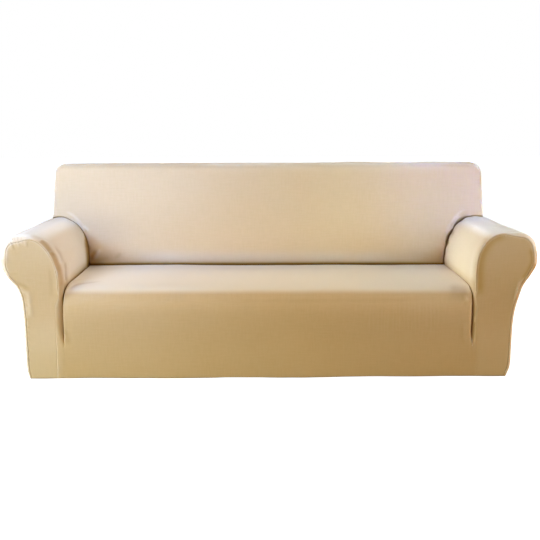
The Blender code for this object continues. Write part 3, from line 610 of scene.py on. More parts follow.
class Arm:
    """One arm's outline, worked out as if it stood at +x, from the foot of the crease over the roll."""

    def __init__(self, side):
        for key, values in ARMS.items():
            setattr(self, key, values[side])
        foot, tuck = Vector((self.crease, HEM_ROLL)), Vector((self.crease, TUCK_UP))
        inner = smooth_curve(self.inner)
        strip = spaced([foot, tuck], FINE)
        riser = spaced([tuck, inner[0]], FINE)
        inner = spaced(inner, FINE)
        outer = spaced(smooth_curve(self.outer), self.fine)
        self.line = [*strip, *riser[1:], *inner[1:], *outer[1:]]
        self.normals = [*left_normals(self.line)[:-1], Vector((1, 0))]
        self.arc = lengths(self.line)
        self.tuck = len(strip) - 1
        self.split = self.tuck + len(riser) + len(inner) - 2
        self.foot_x = self.line[self.split].x

    def toe(self, up, y):
        """How much nearer the centre line the arm's inner side stands, this far up and back."""
        return blend(self.toe_low, self.toe_high, smoothstep(up, *INNER_UP)) * y / BACK_FOOT_Y

    def outer_toe(self, flat, y):
        """How much nearer the centre line the scroll stands, this far back."""
        beyond_foot = smoothstep(flat.x, self.foot_x, SCROLL_OUT)
        return self.toe_outer * smoothstep(flat.y, *SCROLL_UP) * beyond_foot * y / BACK_FOOT_Y

    def at(self, index, y, out=0.0):
        """The point of the outline this far back, moved out along the outline's normal."""
        flat = self.line[index] + self.normals[index] * out
        if index < self.split:
            fade = 1 - smoothstep(self.line[index].x, self.roll_top, self.foot_x - TOE_ENDS)
            flat.x -= self.toe(self.line[index].y, y) * fade
        else:
            flat.x -= self.outer_toe(self.line[index], y)
        return Vector((self.sign * flat.x, y, flat.y))

    def crease_depth(self, up):
        """Depth of the crease between the seat's drop and the arm's front, at a height."""
        return TUCK * smoothstep(up, self.flush_up, self.flush_up + CREASE_RUN)

    def edge_depth(self, index):
        """How far back the arm's front edge reaches before its side runs straight."""
        up = self.line[index].y
        if index <= self.tuck:
            return self.crease_depth(up)
        if index >= self.split:
            return self.edge_radius(index)
        depth = blend(TUCK, INNER_DEPTH, smoothstep(up, SEAT_UP - SOFT_BELOW, SEAT_UP + SOFT_ABOVE))
        return blend(depth, self.outer_edge, self.over_roll(index))

    def edge_radius(self, index):
        """How softly the arm's front edge is rounded, at the seam."""
        if index >= self.split:
            return blend(EDGE, self.outer_edge, smoothstep(self.line[index].y, *SOFT_EDGE_UP))
        return blend(self.inner_edge, self.outer_edge, self.over_roll(index))

    def over_roll(self, index):
        """From 0 to 1 as the roll's top runs out to the foot of the back's side."""
        return smoothstep(self.line[index].x, INNER_OUT, self.foot_x)

    def edge_width(self, index):
        """How far in from the outline the rounding of the arm's front edge starts."""
        widest = blend(EDGE, STRIP_ROUND, smoothstep(self.line[index].y, *STRIP_ROUND_UP))
        return min(self.seam_inset(index) - FLAT_SEAM, widest)

    def seam_inset(self, index):
        """How far in from the outline the seam between wrap and facing runs."""
        edge = blend(self.facing_edge, self.facing_top, smoothstep(self.line[index].y, *FACING_UP))
        return max(self.edge_radius(index) + FLAT_SEAM, edge - self.line[index].x)

    def face_y(self, index):
        return back_face(self.line[index])

    def swell_out(self, index, y):
        """How far the arm's cloth stands out just before the back's crease."""
        past = y - self.face_y(index)
        stops, sinks = SWELL_TOP
        rise = smoothstep(past, -SWELL_BEFORE, stops) * (1 - smoothstep(past, sinks, SWELL_PAST))
        above_seat = smoothstep(self.line[index].y, SEAT_UP, SEAT_UP + SWELL_UP)
        return self.swell * rise * (1 - self.near_foot(index, SWELL_FOOT)) * above_seat

    def near_foot(self, index, run):
        """From 0 to 1 over a run before the foot of the back's side, given as two distances from it."""
        return smoothstep(self.line[index].x, self.foot_x - run[0], self.foot_x - run[1])

    def tucked(self, index, y):
        """How far the arm's cloth is pushed into the creases and how much painted shade it gets, from 0
        where it shows to 1.
        """
        up = self.line[index].y
        below_seat = 1 - smoothstep(up - seat_height(y), *UNDER_SEAT)
        in_crease = smoothstep(y, CREASE_SHADE_FROM * TUCK, TUCK) * self.crease_shade(up)
        run = blend(self.brown_low, SHADE_HIGH_RUN, smoothstep(up, *SHADE_NARROWS_UP))
        to_back = min(max((y - self.face_y(index)) / run + 1, 0.0), 1.0) ** TO_BACK_POWER
        return max(below_seat * in_crease, to_back * self.junction_shade(index))

    def junction_shade(self, index):
        """How much painted shade the crease between arm and back gets: less over the roll."""
        return 1 - JUNCTION_FADE * self.near_foot(index, JUNCTION_FADES)

    def crease_shade(self, up):
        """How much painted shade the crease beside the seat gets: less down the drop."""
        return blend(self.drop_brown, 1, smoothstep(up, *DROP_TO_SEAT))

    def seat_edge(self, y):
        return self.crease - self.toe(SEAT_UP, y) - GAP


class Panel:
    """A panel while it is built. Its points are (place, tuck and painted shade, seam distance, place on the
    flat cloth).
    """

    def __init__(self, name):
        self.name = name
        self.mesh = bmesh.new()
        layers = self.mesh.verts.layers
        self.layers = layers.float.new("tucked"), layers.float.new("seam"), layers.float_vector.new("cloth")

    def add(self, points, faces):
        corners = []
        for place, *facts in points:
            corner = self.mesh.verts.new(settled(place))
            for layer, fact in zip(self.layers, facts):
                corner[layer] = (*fact, 0.0) if isinstance(fact, tuple) else fact
            corners.append(corner)
        for face in faces:
            self.mesh.faces.new([corners[i] for i in face])

    def add_grid(self, rows):
        across = len(rows[0])
        starts = [j * across + i for j in range(len(rows) - 1) for i in range(across - 1)]
        self.add([p for row in rows for p in row], [(a, a + 1, a + across + 1, a + across) for a in starts])

    def add_hem(self, edge, inwards):
        """The turn under along the bottom edge, given the level direction into the cover at each point."""
        bends = turns(HEM_TURNS)[::-1]
        steps = [(HEM_ROLL * (1 - math.sin(t)), HEM_ROLL * (1 - math.cos(t))) for t in bends]
        rows = []
        for inward, up in [*steps, (HEM_ROLL + HEM_RETURN, 0.0)]:
            row = []
            for (place, tucked, seam, (u, v)), d in zip(edge, inwards):
                turned = Vector((place.x + d.x * inward, place.y + d.y * inward, up))
                row.append((turned, tucked, seam, (u, v - (HEM_ROLL - up) - inward)))
            rows.append(row)
        self.add_grid(rows)


def is_within(points, outline):
    """Which of the flat points lie inside an outline."""
    within = np.zeros(len(points), bool)
    for a, b in zip(outline, np.roll(outline, -1, axis=0)):
        crosses = (a[1] > points[:, 1]) != (b[1] > points[:, 1])
        rise = b[1] - a[1] if b[1] != a[1] else 1.0
        within ^= crosses & (points[:, 0] < a[0] + (b[0] - a[0]) * (points[:, 1] - a[1]) / rise)
    return within


def filled(outline, spacing):
    """Triangles that fill a flat outline, with points this far apart inside it: (flat points, faces)."""
    edge = np.array([tuple(p) for p in outline])
    low, high = edge.min(axis=0), edge.max(axis=0)
    rows = np.arange(low[1], high[1], spacing * math.sqrt(0.75))
    columns = np.arange(low[0], high[0], spacing)
    lattice = np.array([(x + 0.5 * spacing * (j % 2), y) for j, y in enumerate(rows) for x in columns])
    lattice = lattice[is_within(lattice, edge)]
    nearest = np.full(len(lattice), np.inf)
    for point in edge:
        nearest = np.minimum(nearest, np.hypot(*(lattice - point).T))
    inner = [Vector(p) for p in lattice[nearest > CLEAR_OF_EDGE * spacing]]
    count = len(outline)
    edges = [(i, (i + 1) % count) for i in range(count)]
    points, _, faces, *_ = delaunay_2d_cdt([*outline, *inner], edges, [], 1, WELD)
    return points, faces


def edge_steps(width, depth, seam):
    """From a seam over a rounded edge: (in from the edge, back from the face, turn, seam distance)."""
    flat = [(blend(seam, width, s), 0.0, 0.0) for s in shares(SEAM_STEPS)[:-1]]
    bend = [(width * (1 - math.sin(t)), depth * (1 - math.cos(t)), t) for t in FOLD]
    steps, run = [], 0.0
    for step in [*flat, *bend]:
        if steps:
            run += math.hypot(step[0] - steps[-1][0], step[1] - steps[-1][1])
        steps.append((*step, run))
    return steps


def arm_wrap(arm):
    """The arm's rounded front edge, its inner side and roll into the tuck, and its outside to the rear."""
    panel = Panel(f"arm_wrap_{arm.side}")
    count = len(arm.line)
    front = []
    for i in range(count):
        row = []
        for inward, y, _, run in edge_steps(arm.edge_width(i), arm.edge_depth(i), arm.seam_inset(i)):
            tucked = arm.tucked(i, y) if i < arm.split else 0.0
            seam = run + (flat_seam(arm.line[i].y) if i < arm.split else 0.0)
            row.append((arm.at(i, y, -inward), tucked, seam, (run, arm.arc[i])))
        front.append(row)
    panel.add_grid(front)

    def long_row(i, tucks):
        start, face_y = arm.edge_depth(i), arm.face_y(i)
        places = [blend(start, face_y, s) for s in LONG_SHARES]
        places += [face_y + BACK_TUCK * s for s in TUCK_SHARES]
        row = []
        for y in places:
            out = arm.swell_out(i, y) if tucks else 0.0
            seam = front[i][-1][2] + y - start
            row.append((arm.at(i, y, out), arm.tucked(i, y) if tucks else 0.0, seam, (seam, arm.arc[i])))
        return row

    panel.add_grid([long_row(i, True) for i in range(arm.tuck, arm.split + 1)])
    split_row = long_row(arm.split, False)
    run_y = [p[0].y for p in split_row]
    rear_start = REAR_Y - EDGE
    run_y += [blend(run_y[-1], rear_start, s) for s in shares(REAR_ROWS)[1:]]
    rear_edge = edge_steps(EDGE, EDGE, EDGE + FLAT_SEAM)[::-1]
    outer = []
    for i in range(arm.split, count):
        start = arm.edge_depth(i)
        stretch = (rear_start - start) / (rear_start - run_y[0])
        row = []
        for y in [start + (y - run_y[0]) * stretch for y in run_y]:
            seam = front[i][-1][2] + y - start
            row.append((arm.at(i, y), 0.0, seam, (seam, arm.arc[i])))
        for inward, y, _, run in rear_edge[1:]:
            place = arm.at(i, REAR_Y - y, -inward)
            if i == arm.split:
                place = arm.at(i, REAR_Y - y) - Vector((arm.sign * inward, 0, inward))
            row.append((place, 0.0, run, (REAR_Y - run, arm.arc[i])))
        outer.append(row)
    panel.add_grid(outer)

    sideways, backways = Vector((-arm.sign, 0)), Vector((0, 1))
    turned = [t for _, _, t, _ in edge_steps(EDGE, EDGE, EDGE + FLAT_SEAM)]
    front_in = [sideways * math.sin(t) + backways * math.cos(t) for t in turned]
    rear_in = [sideways * math.sin(t) - backways * math.cos(t) for t in turned[::-1]][1:]
    panel.add_hem(front[0], [backways] * len(front[0]))
    panel.add_hem(front[-1], front_in)
    panel.add_hem(outer[-1], [sideways] * len(run_y) + rear_in)
    return panel


def seamed_flat_panel(name, ring_at, spacing, hem_inward, y, flat=None):
    """A flat panel inside its seam: close lines along the seam, a filled middle, and a hem along its foot.

    flat is what is added to the seam distance at each point of the seam, if it shows less in places.
    """
    panel = Panel(name)
    rings = [ring_at(inset) for inset in SEAM_ROWS]
    flat = flat or [0.0] * len(rings[0])

    def spot(p, seam):
        return p, 0.0, seam, (p.x, p.z)

    rows = zip(rings, SEAM_ROWS)
    panel.add_grid([[spot(p, seam + more) for p, more in zip(ring, flat)] for ring, seam in rows])
    last = rings[-1]
    closing = spaced([last[-1], last[0]], spacing)
    outline = [Vector((p.x, p.z)) for p in [*last, *closing[1:-1]]]
    points, faces = filled(outline, spacing)
    distances = [SEAM_ROWS[-1] + f for f in flat] + [FAR] * (len(points) - len(last))
    panel.add([spot(Vector((p.x, y, p.y)), seam) for p, seam in zip(points, distances)], faces)
    foot = [spot(ring[-1], s) for ring, s in zip(rings, SEAM_ROWS)] + [spot(p, FAR) for p in closing[1:-1]]
    foot += [spot(ring[0], s) for ring, s in zip(rings, SEAM_ROWS)][::-1]
    panel.add_hem(foot, [hem_inward] * len(foot))
    return panel


def arm_facing(arm):
    """The flat scroll-shaped panel on the front of an arm, up to its seam with the wrap."""

    def ring_at(inset):
        return [arm.at(i, 0.0, -arm.seam_inset(i) - GAP - inset) for i in range(len(arm.line))]

    flat = [flat_seam(p.y) if i < arm.split else 0.0 for i, p in enumerate(arm.line)]
    return seamed_flat_panel(f"arm_facing_{arm.side}", ring_at, FINE, Vector((0, 1)), 0.0, flat)


def seat_and_drop(arms):
    """The seat cloth, pushed into the tuck at the rear and both sides, over the front edge and down to the
    hem.
    """
    panel = Panel(SEAT)
    rear_y = BACK_FOOT_Y - GAP
    rows = []
    for turn in FOLD[::-1]:
        inward, sunk = SEAT_FOLD * (1 - math.sin(turn)), TUCK * (1 - math.cos(turn))
        rows.append((Vector((rear_y - inward, SEAT_UP)), Vector((0, 1)), sunk))
    section = spaced(smooth_curve(SEAT_SECTION), SECTION_SPACING)
    rows += [(p, -n, 0.0) for p, n in list(zip(section, left_normals(section)))[1:]]
    arc = lengths([row[0] for row in rows])
    across = graded(*SEAT_COLUMNS)[1:-1]
    lines = []
    for (flat, normal, rear_sunk), along in zip(rows, arc):
        sides = []
        for arm in arms:
            depth = TUCK
            if flat.y < TUCK_UP:
                depth = arm.crease_depth(flat.y) - flat.x
            side = []
            width = blend(arm.drop_fold, arm.seat_fold, smoothstep(flat.y, *DROP_TO_SEAT))
            for turn in FOLD[::-1]:
                inward, sunk = width * (1 - math.sin(turn)), max(depth * (1 - math.cos(turn)), rear_sunk)
                place = flat - normal * sunk
                x = arm.sign * (arm.seat_edge(place.x) - inward)
                tucked = smoothstep(sunk, *SIDE_TUCKED) * arm.crease_shade(flat.y)
                side.append((Vector((x, place.x, place.y)), tucked, FAR, (x, -along)))
            sides.append(side)
        left, right = sides[0], sides[1][::-1]
        middle = []
        for share in across:
            place = left[-1][0].lerp(right[0][0], share)
            middle.append((place, smoothstep(rear_sunk, *REAR_TUCKED), FAR, (place.x, -along)))
        lines.append([*left, *middle, *right])
    panel.add_grid(lines)
    panel.add_hem(lines[-1], [Vector((0, 1))] * len(lines[-1]))
    return panel


def top_at(x):
    """Height of the back's top at a distance to the right of its middle."""
    return TOP_UP + TOP_TILT * x


def upper_side(arm):
    """The back's outline above an arm and round its top corner: flat points and directions outwards."""
    foot = arm.line[arm.split] + Vector((0, GAP))
    corner = arm.back_corner
    centre = Vector((arm.back_head - corner, top_at(arm.sign) - corner))
    straight = spaced([foot, Vector((arm.back_head, centre.y))], SIDE_SPACING)
    outline = [(foot, Vector((1, -1)))] + [(p, Vector((1, 0))) for p in straight[1:-1]]
    for turn in turns(CORNER_TURNS):
        outward = Vector((math.cos(turn), math.sin(turn)))
        outline.append((centre + outward * corner, outward))
    return outline


def over_top(halves):
    """One line from the left half straight across the back's top to the right half."""
    left, right = halves[0], halves[1][::-1]
    return [*left, *[left[-1].lerp(right[0], s) for s in shares(TOP_COLUMNS)[1:-1]], *right]


def back_ring(arms, turn):
    """One line round the back's edge, this far round its fold, from crease to crease over the top."""
    share, sunk = 1 - math.sin(turn), BACK_TUCK * (1 - math.cos(turn))
    halves = []
    for arm in arms:
        half = []
        for i in range(arm.tuck, arm.split):
            fan = smoothstep(arm.line[i].x, arm.foot_x - FAN_RUN, arm.foot_x)
            past = max(arm.arc[arm.split] - arm.arc[i] - LOBES_FROM, 0.0)
            high_up = smoothstep(arm.line[i].y, *LOBES_UP)
            lobe = arm.lobes * abs(math.sin(math.pi * past / LOBE_RUN)) * high_up
            inward = share * (SIDE_FOLD + lobe)
            place = arm.at(i, back_face(arm.line[i]), GAP + inward)
            place.x -= arm.sign * inward * fan
            half.append((place, arm.junction_shade(i), 1 - SHALLOW * fan))
        for flat, outward in upper_side(arm):
            top = max(outward.y, 0.0) ** 2
            place = flat - outward * share * blend(SIDE_FOLD, BACK_FOLD, top)
            tuck = (1 - JUNCTION_FADE) * (1 - smoothstep(flat.y - arm.line[arm.split].y, 0.0, SIDE_FOOT))
            half.append((Vector((arm.sign * place.x, 0, place.y)), tuck, 1 - SHALLOW * (1 - top)))
        halves.append(half)
    left, right = halves[0], halves[1][::-1]
    start, end = left[-1][0], right[0][0]
    middle = [(start.lerp(end, s), 0.0, 1.0) for s in shares(TOP_COLUMNS)[1:-1]]
    # each point keeps its share of the fold's painted shade
    ring = []
    for place, tuck, deep in [*left, *middle, *right]:
        place.y = back_face(Vector((place.x, place.z))) + sunk * deep
        ring.append((place, tuck))
    return ring


def inside_back(arms):
    """The back's face, its tucks beside the arms, and its sides and top as far as the rear seam."""
    panel = Panel(BACK)
    border, run = [], 0.0
    for turn in FOLD:
        early = EARLY_SHADE * smoothstep(math.sin(turn), 0.0, EARLY_TURN)
        tucked = early + (1 - EARLY_SHADE) * math.sin(turn) ** LATE_POWER
        row = []
        for p, tuck in back_ring(arms, turn):
            row.append((p, max(tuck * tucked, painted_foot_shade(p.x, p.z)), FAR, (p.x, p.z + p.y - BACK_FOOT_Y)))
        border.append(row)
    panel.add_grid(border)
    edge = [Vector((p[0].x, p[0].z)) for p in border[0]]
    foot = spaced([edge[-1], edge[0]], MIDDLE)[1:-1]
    points, faces = filled([*edge, *foot], MIDDLE)
    panel.add([(Vector((p.x, back_face(p), p.y)), painted_foot_shade(*p), FAR, (p.x, p.y)) for p in points], faces)

    beside = {arm.sign: arm.split - arm.tuck for arm in arms}
    shown = slice(beside[-1], -beside[1])
    inner = border[-1][shown]
    rear_rings = []
    for inward, y, _, run in edge_steps(EDGE, EDGE, EDGE + FLAT_SEAM)[::-1]:
        ring = rear_ring(arms, inward, REAR_Y - y)[shown]
        rear_rings.append([(p, 0.0, run, (p.x, p.z + p.y)) for p in ring])
    rows = [inner]
    for share in shares(TOP_ROWS)[1:-1]:
        row = []
        for (near, *_), (far, *_) in zip(inner, rear_rings[0]):
            place = near.lerp(far, share)
            row.append((place, 0.0, FAR, (place.x, place.z + place.y)))
        rows.append(row)
    panel.add_grid([*rows, *rear_rings])
    return panel


def rear_ring(arms, inward, y):
    """One line round the rear of the back's top and sides, this far in from the outline."""
    halves = []
    for arm in arms:
        lower = [arm.at(i, y) for i in range(arm.tuck, arm.split)]
        upper = [flat - outward * inward for flat, outward in upper_side(arm)]
        halves.append([*lower, *[Vector((arm.sign * p.x, y, p.y)) for p in upper]])
    return over_top(halves)


def outside_back(arms):
    """The flat rear panel inside the seam that runs round each arm, up the sides and over the top."""

    def ring_at(inset):
        inset += EDGE + FLAT_SEAM + GAP
        halves = []
        for arm in arms:
            lower = [arm.at(i, REAR_Y, -inset) for i in range(len(arm.line) - 1, arm.split, -1)]
            mitre = arm.line[arm.split] - Vector((inset, inset))
            upper = [flat - outward * inset for flat, outward in upper_side(arm)[1:]]
            halves.append([*lower, *[Vector((arm.sign * p.x, REAR_Y, p.y)) for p in [mitre, *upper]]])
        return over_top(halves)

    return seamed_flat_panel(REAR, ring_at, COARSE, Vector((0, -1)), REAR_Y)


def outer_mesh(panel, inside):
    """The panel's outer surface as a mesh, welded and facing away from the sofa."""
    mesh = panel.mesh
    bmesh.ops.remove_doubles(mesh, verts=mesh.verts, dist=WELD)
    bmesh.ops.recalc_face_normals(mesh, faces=mesh.faces)
    facing_out = sum(f.calc_area() * f.normal.dot(f.calc_center_median() - inside) for f in mesh.faces)
    if facing_out < 0:
        bmesh.ops.reverse_faces(mesh, faces=mesh.faces)
    data = bpy.data.meshes.new(panel.name)
    mesh.to_mesh(data)
    mesh.free()
    data.shade_smooth()
    return data


def read(source, name, width):
    values = np.empty(len(source) * width, np.float32)
    source.foreach_get(name, values)
    return values.reshape(-1, width).astype(float)


def eased(share):
    """Smoothly from 0 to 1 as an array of shares does."""
    share = np.clip(share, 0.0, 1.0)
    return share * share * (3 - 2 * share)


def ramp(values, low, high):
    """Smoothly from 0 to 1 as an array's values go from low to high."""
    return eased((values - low) / (high - low))


def bell(distance, half_width):
    return np.exp(-((distance / half_width) ** 2))


class Line:
    """A line laid on the cloth, with each nearby point's distance to it and place along it."""

    def __init__(self, tree, points, places, reach):
        curve = spaced(smooth_curve(points), LINE_SPACING)
        curve = [tree.find_nearest(p)[0] for p in curve]
        self.along = np.array(lengths(curve))
        spots = np.array(curve)
        near = np.all((places > spots.min(axis=0) - reach) & (places < spots.max(axis=0) + reach), axis=1)
        self.points = np.nonzero(near)[0]
        self.distance = np.full(len(self.points), np.inf)
        nearest = np.zeros(len(self.points), int)
        for i, spot in enumerate(spots):
            distance = np.linalg.norm(places[self.points] - spot, axis=1)
            closer = distance < self.distance
            self.distance[closer] = distance[closer]
            nearest[closer] = i
        self.place = self.along[nearest]
        self.share = self.place / self.along[-1]

    def taper(self, run):
        """Rising from 0 at both ends over this share of the line."""
        return eased(self.share / run) * eased((1 - self.share) / run)


def uneven(values, seed):
    """Smooth noise from about -1 to 1 along a list of numbers."""
    return np.array([noise.noise(Vector((value, seed, 0.5))) for value in values])


def lines_on(name, table, tree, places, reach):
    """The rows of a table that lie on a panel: each one's number, its measures and its line."""
    for row, (panel, *measures, points) in enumerate(table):
        if panel == name:
            yield row, measures, Line(tree, points, places, reach * measures[0])


def relief(name, places, tucked, seam, tree):
    """How far each point of a panel stands out with its creases, gathers, seams and slack, and its painted
    crease light.

    That light runs from -1, painted shade in the troughs, to 1, a painted highlight on the ridges.
    """
    height = np.zeros(len(places))
    for row, (half_width, rise), line in lines_on(name, CREASES, tree, places, REACH):
        amount, often = CREASE_UNEVEN
        vary = 1 + amount * uneven(line.place * often, row)
        height[line.points] += rise * vary * bell(line.distance, half_width) * line.taper(CREASE_TAPER)
    for row, (reach, spacing, rise), line in lines_on(name, GATHERS, tree, places, GATHER_REACH):
        at = line.place / spacing
        to_shift, to_vary = [row + seed for seed in GATHER_SEEDS]
        phase = at + GATHER_SHIFT * uneven(at, to_shift)
        amount, often = GATHER_UNEVEN
        vary = 1 + amount * uneven(at * often, to_vary)
        wave = np.cos(2 * math.pi * phase) * vary * bell(line.distance, reach)
        height[line.points] += rise * wave * line.taper(GATHER_TAPER)
    ridge = SEAM_RIDGE_WRAP if name in (LEFT_WRAP, RIGHT_WRAP, BACK) else SEAM_RIDGE_FLAT
    beside_seam = bell(seam - SEAM_RIDGE_AT, SEAM_RIDGE_HALF)
    height += ridge * beside_seam
    painted_crease_light = np.clip(height / FULL_HIGHLIGHT_HEIGHT + SEAM_HIGHLIGHT * beside_seam, -1, 1) * (1 - tucked)
    height -= SEAM_SUNK * bell(seam, SEAM_HALF)
    for scale, rise in SLACK:
        height += rise * (1 - tucked) ** 2 * np.array([noise.noise(Vector(p) / scale) for p in places])
    return height * (1 - TUCKED_FLAT * tucked), painted_crease_light


def painted_light(name, places, normals, tree):
    """Painted light on the cloth, from 1 where a painted highlight makes it palest down to -1 where painted
    shade makes it browner.
    """
    inner, outer, up, low, high = PAINTED_LIGHT_SHARES.get(name, (0, 0, 0, 0, 0))
    across, back, height = places.T
    outwards = normals[:, 0] * np.sign(across)
    if name in (LEFT_WRAP, RIGHT_WRAP):
        outer = outer * (1 - ramp(back, *OUTER_HIGHLIGHT_BACK))
    above_seat = ramp(height, *INNER_HIGHLIGHT_UP) * ramp(back, *INNER_HIGHLIGHT_BACK)
    pale = inner * ramp(-outwards, *INNER_FACING) * above_seat
    pale += outer * ramp(outwards, *OUTER_FACING) + up * ramp(normals[:, 2], *UP_FACING)
    pale += low * (1 - ramp(height, *LOW_HIGHLIGHT_UP)) * ramp(abs(across), *LOW_HIGHLIGHT_OUT)
    pale -= high * ramp(height, *HIGH_SHADE_UP)
    # painted shade along each band, or a painted highlight where its share is below nought
    for _, (half_width, share), line in lines_on(name, PAINTED_LIGHT_BANDS, tree, places, REACH):
        pale[line.points] -= share * bell(line.distance, half_width) * line.taper(LIGHT_BAND_TAPER)
    return np.clip(pale, -1, 1)


def shape_cloth(data, name):
    """Move a panel's points out or in by its relief."""
    places = read(data.vertices, "co", 3)
    normals = read(data.vertices, "normal", 3)
    tucked = read(data.attributes["tucked"].data, "value", 1)[:, 0]
    seam = read(data.attributes["seam"].data, "value", 1)[:, 0]
    faces = [tuple(p.vertices) for p in data.polygons]
    tree = BVHTree.FromPolygons([Vector(p) for p in places], faces)
    height, painted_crease_light = relief(name, places, tucked, seam, tree)
    places += normals * height[:, None]
    data.vertices.foreach_set("co", places.astype(np.float32).ravel())
    # Painted light: painted highlights and painted shade, none of it where the cloth is tucked in
    pale = painted_light(name, places, normals, tree) * (1 - tucked)
    for layer, values in (("painted_crease_light", painted_crease_light), ("painted_light", pale)):
        data.attributes.new(layer, "FLOAT", "POINT").data.foreach_set("value", values.astype(np.float32))
    data.update()


def in_scene(name, data):
    """A new object, linked into the scene."""
    made = bpy.data.objects.new(name, data)
    bpy.context.scene.collection.objects.link(made)
    return made


def cloth_piece(panel, inside, material, shift):
    data = outer_mesh(panel, inside)
    shape_cloth(data, panel.name)
    data.transform(Matrix.Translation(shift))
    data.materials.append(material)
    piece = in_scene(f"{panel.name}_cloth", data)
    thicken = piece.modifiers.new("cloth", "SOLIDIFY")
    thicken.thickness = CLOTH
    thicken.offset = -1
    return piece


def feed(node, inputs):
    """Set a node's inputs, or link those whose value is another node's output."""
    for key, value in inputs.items():
        if isinstance(value, bpy.types.NodeSocket):
            node.id_data.links.new(value, node.inputs[key])
        else:
            node.inputs[key].default_value = value


def new_material(name):
    """A new material and its shader."""
    material = bpy.data.materials.new(name)
    material.use_nodes = True
    return material, material.node_tree.nodes["Principled BSDF"]


class Nodes:
    """Short ways to add nodes to a material. Each gives the new node's output."""

    def __init__(self, material):
        self.tree = material.node_tree

    def add(self, kind, output, inputs, **settings):
        node = self.tree.nodes.new(kind)
        for key, value in settings.items():
            setattr(node, key, value)
        feed(node, inputs)
        return node.outputs[output]

    def attribute(self, name, output="Fac"):
        return self.add("ShaderNodeAttribute", output, {}, attribute_type="GEOMETRY", attribute_name=name)

    def noise(self, vector, scale, stretch=(1, 1, 1), detail=2.0):
        """Noise about this many features to the metre, stretched along the cloth."""
        stretched = self.add("ShaderNodeMapping", "Vector", {"Vector": vector, "Scale": stretch})
        inputs = {"Vector": stretched, "Scale": scale, "Detail": detail}
        return self.add("ShaderNodeTexNoise", "Fac", inputs)

    def waves(self, vector, direction, spacing):
        """Even ribs this far apart across the cloth."""
        inputs = {"Vector": vector, "Scale": WAVES_TO_SCALE / spacing, **RIB_SHAPE}
        return self.add("ShaderNodeTexWave", "Fac", inputs, wave_type="BANDS", bands_direction=direction)

    def maths(self, operation, a, b):
        return self.add("ShaderNodeMath", "Value", {0: a, 1: b}, operation=operation)

    def ranged(self, value, low, high, to_low, to_high):
        inputs = {"Value": value, "From Min": low, "From Max": high, "To Min": to_low, "To Max": to_high}
        return self.add("ShaderNodeMapRange", "Result", inputs)

    def mixed(self, factor, a, b):
        """Two colours mixed. The sockets go by number, because their names repeat."""
        return self.add("ShaderNodeMix", 2, {0: factor, 6: a, 7: b}, data_type="RGBA")


def cloth_material():
    """Golden stretch knit: fine ribs, slubs along both threads, painted highlights and painted shade."""
    material, shader = new_material("stretch_cloth")
    nodes = Nodes(material)
    cloth = nodes.attribute("cloth", "Vector")
    tucked = nodes.attribute("tucked")
    seam = nodes.attribute("seam")

    along = nodes.noise(cloth, SLUBS, (1.0, SLUB_STRETCH, 1.0))
    across = nodes.noise(cloth, SLUBS, (SLUB_STRETCH, 1.0, 1.0))
    slubs = nodes.maths("ADD", along, across)
    blotches = nodes.noise(cloth, BLOTCHES, detail=BLOTCH_DETAIL)
    pale = nodes.attribute("painted_light")
    painted_crease_light = nodes.attribute("painted_crease_light")
    colour = SLUB_DARK
    # Mixed in turn: slubs and blotches, then painted highlight and painted shade on faces, creases, tucks
    # and seams
    for value, low, high, at_low, at_high, over in (
        (slubs, *SLUB_RANGE, 0.0, 1.0, SLUB_LIGHT),
        (blotches, *BLOTCH_RANGE, 0.0, BLOTCH_SHARE, BLOTCH_COLOUR),
        (pale, 0.0, 1.0, 0.0, 1.0, PAINTED_HIGHLIGHT_COLOUR),
        (pale, 0.0, -1.0, 0.0, 1.0, SHADE_COLOUR),
        (painted_crease_light, 0.0, 1.0, 0.0, RIDGE_HIGHLIGHT_SHARE, RIDGE_HIGHLIGHT_COLOUR),
        (painted_crease_light, 0.0, -1.0, 0.0, TROUGH_SHADE_SHARE, TROUGH_SHADE_COLOUR),
        (tucked, *SHADE_RANGE, 0.0, SHADE_SHARE, SHADE_COLOUR),
        (seam, 0.0, SEAM_SHADE_RUN, SEAM_SHADE_SHARE, 0.0, SHADE_COLOUR),
        (tucked, *DEEP_SHADE_RANGE, 0.0, DEEP_SHADE_SHARE, DEEP_SHADE_COLOUR),
    ):
        colour = nodes.mixed(nodes.ranged(value, low, high, at_low, at_high), colour, over)

    worn = nodes.ranged(blotches, *BLOTCH_RANGE, *ROUGHNESS)
    ribs = nodes.maths("ADD", nodes.waves(cloth, "X", RIB_SPACING), nodes.waves(cloth, "Y", COURSE_SPACING))
    surface = nodes.maths("ADD", nodes.maths("MULTIPLY", ribs, RIB_SHARE), slubs)
    bump = {"Strength": THREAD_STRENGTH, "Distance": THREAD, "Height": surface}
    feed(shader, {
        "Base Color": colour,
        "Roughness": worn,
        "Specular IOR Level": SPECULAR,
        "Sheen Weight": SHEEN,
        "Sheen Roughness": SHEEN_ROUGHNESS,
        "Sheen Tint": SHEEN_TINT,
        "Normal": nodes.add("ShaderNodeBump", "Normal", bump),
    })
    return material


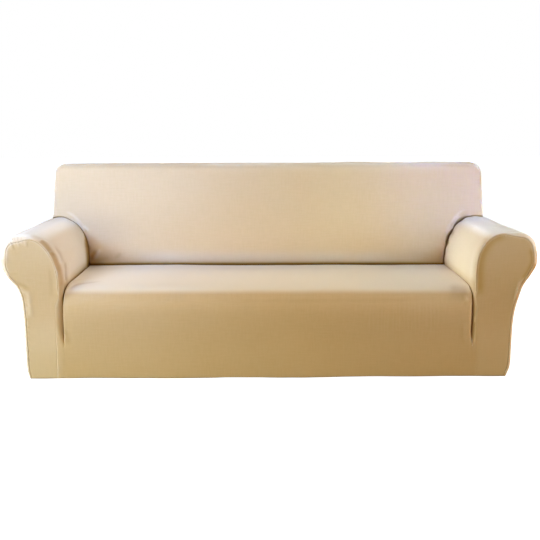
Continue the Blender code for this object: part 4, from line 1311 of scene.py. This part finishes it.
def floor(shift):
    """A plain pale floor under the hem, which doesn't throw light back up at the cover."""
    data = bpy.data.meshes.new("floor")
    corners = [(x * FLOOR_HALF, y * FLOOR_HALF, 0) for x, y in ((-1, -1), (1, -1), (1, 1), (-1, 1))]
    data.from_pydata(corners, [], [(0, 1, 2, 3)])
    material, shader = new_material("floor")
    feed(shader, FLOOR_LOOK)
    data.materials.append(material)
    plane = in_scene("floor", data)
    plane.location = (0, 0, shift.z - FLOOR_BELOW)
    plane.visible_diffuse = False
    plane.visible_glossy = False
    plane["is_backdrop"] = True


def lights(shift):
    """Wide and narrow lamps round the cover, and a white surround that only the camera sees."""
    for name, place, target, size, spread, watts, colour in LIGHTS:
        data = bpy.data.lights.new(name, "AREA")
        data.shape = "RECTANGLE"
        data.size, data.size_y = size
        data.energy = watts
        data.spread = math.radians(spread)
        data.color = colour
        lamp = in_scene(name, data)
        lamp.location = Vector(place) + shift
        lamp.visible_camera = False
        lamp.rotation_euler = (Vector(target) - Vector(place)).to_track_quat("-Z", "Y").to_euler()
    world = bpy.data.worlds.new("studio")
    bpy.context.scene.world = world
    world.use_nodes = True
    feed(world.node_tree.nodes["Background"], {"Color": WHITE, "Strength": 1.0})
    world.cycles_visibility.diffuse = False
    world.cycles_visibility.glossy = False


def camera(shift):
    data = bpy.data.cameras.new("camera")
    data.sensor_width = CAMERA_SENSOR
    data.lens = CAMERA_LENS
    view = in_scene("camera", data)
    forward = Vector((0, math.cos(CAMERA_TILT), -math.sin(CAMERA_TILT)))
    right = Vector((1, 0, 0))
    up = right.cross(forward)
    right, up = [
        math.cos(CAMERA_ROLL) * right - math.sin(CAMERA_ROLL) * up,
        math.sin(CAMERA_ROLL) * right + math.cos(CAMERA_ROLL) * up,
    ]
    view.matrix_world = Matrix((right, up, -forward)).transposed().to_4x4()
    view.location = Vector(CAMERA_PLACE) + shift
    bpy.context.scene.camera = view


def main():
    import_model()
    cad_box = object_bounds()
    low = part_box("arm_facing_left")[0]
    shift = Vector((0, low[1], low[2]))
    camera(shift)
    material = cloth_material()
    arms = [Arm(0), Arm(1)]
    left, right = arms
    panels = [
        (seat_and_drop(arms), IN_THE_SEAT),
        (inside_back(arms), IN_THE_BACK),
        (outside_back(arms), IN_THE_SEAT),
        (arm_wrap(left), IN_THE_LEFT_ARM),
        (arm_facing(left), IN_THE_LEFT_ARM),
        (arm_wrap(right), IN_THE_RIGHT_ARM),
        (arm_facing(right), IN_THE_RIGHT_ARM),
    ]
    for panel, inside in panels:
        piece = cloth_piece(panel, Vector(inside), material, shift)
        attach(piece, "root")
        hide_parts(panel.name)
        width, length, area = FLAT_SIZES[panel.name]
    floor(shift)
    lights(shift)
    bpy.context.scene.view_settings.view_transform = "Standard"
    boxes = {"cad": cad_box, "visual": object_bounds()}
    {name: [[float(v) for v in corner] for corner in box] for name, box in boxes.items()}


main()
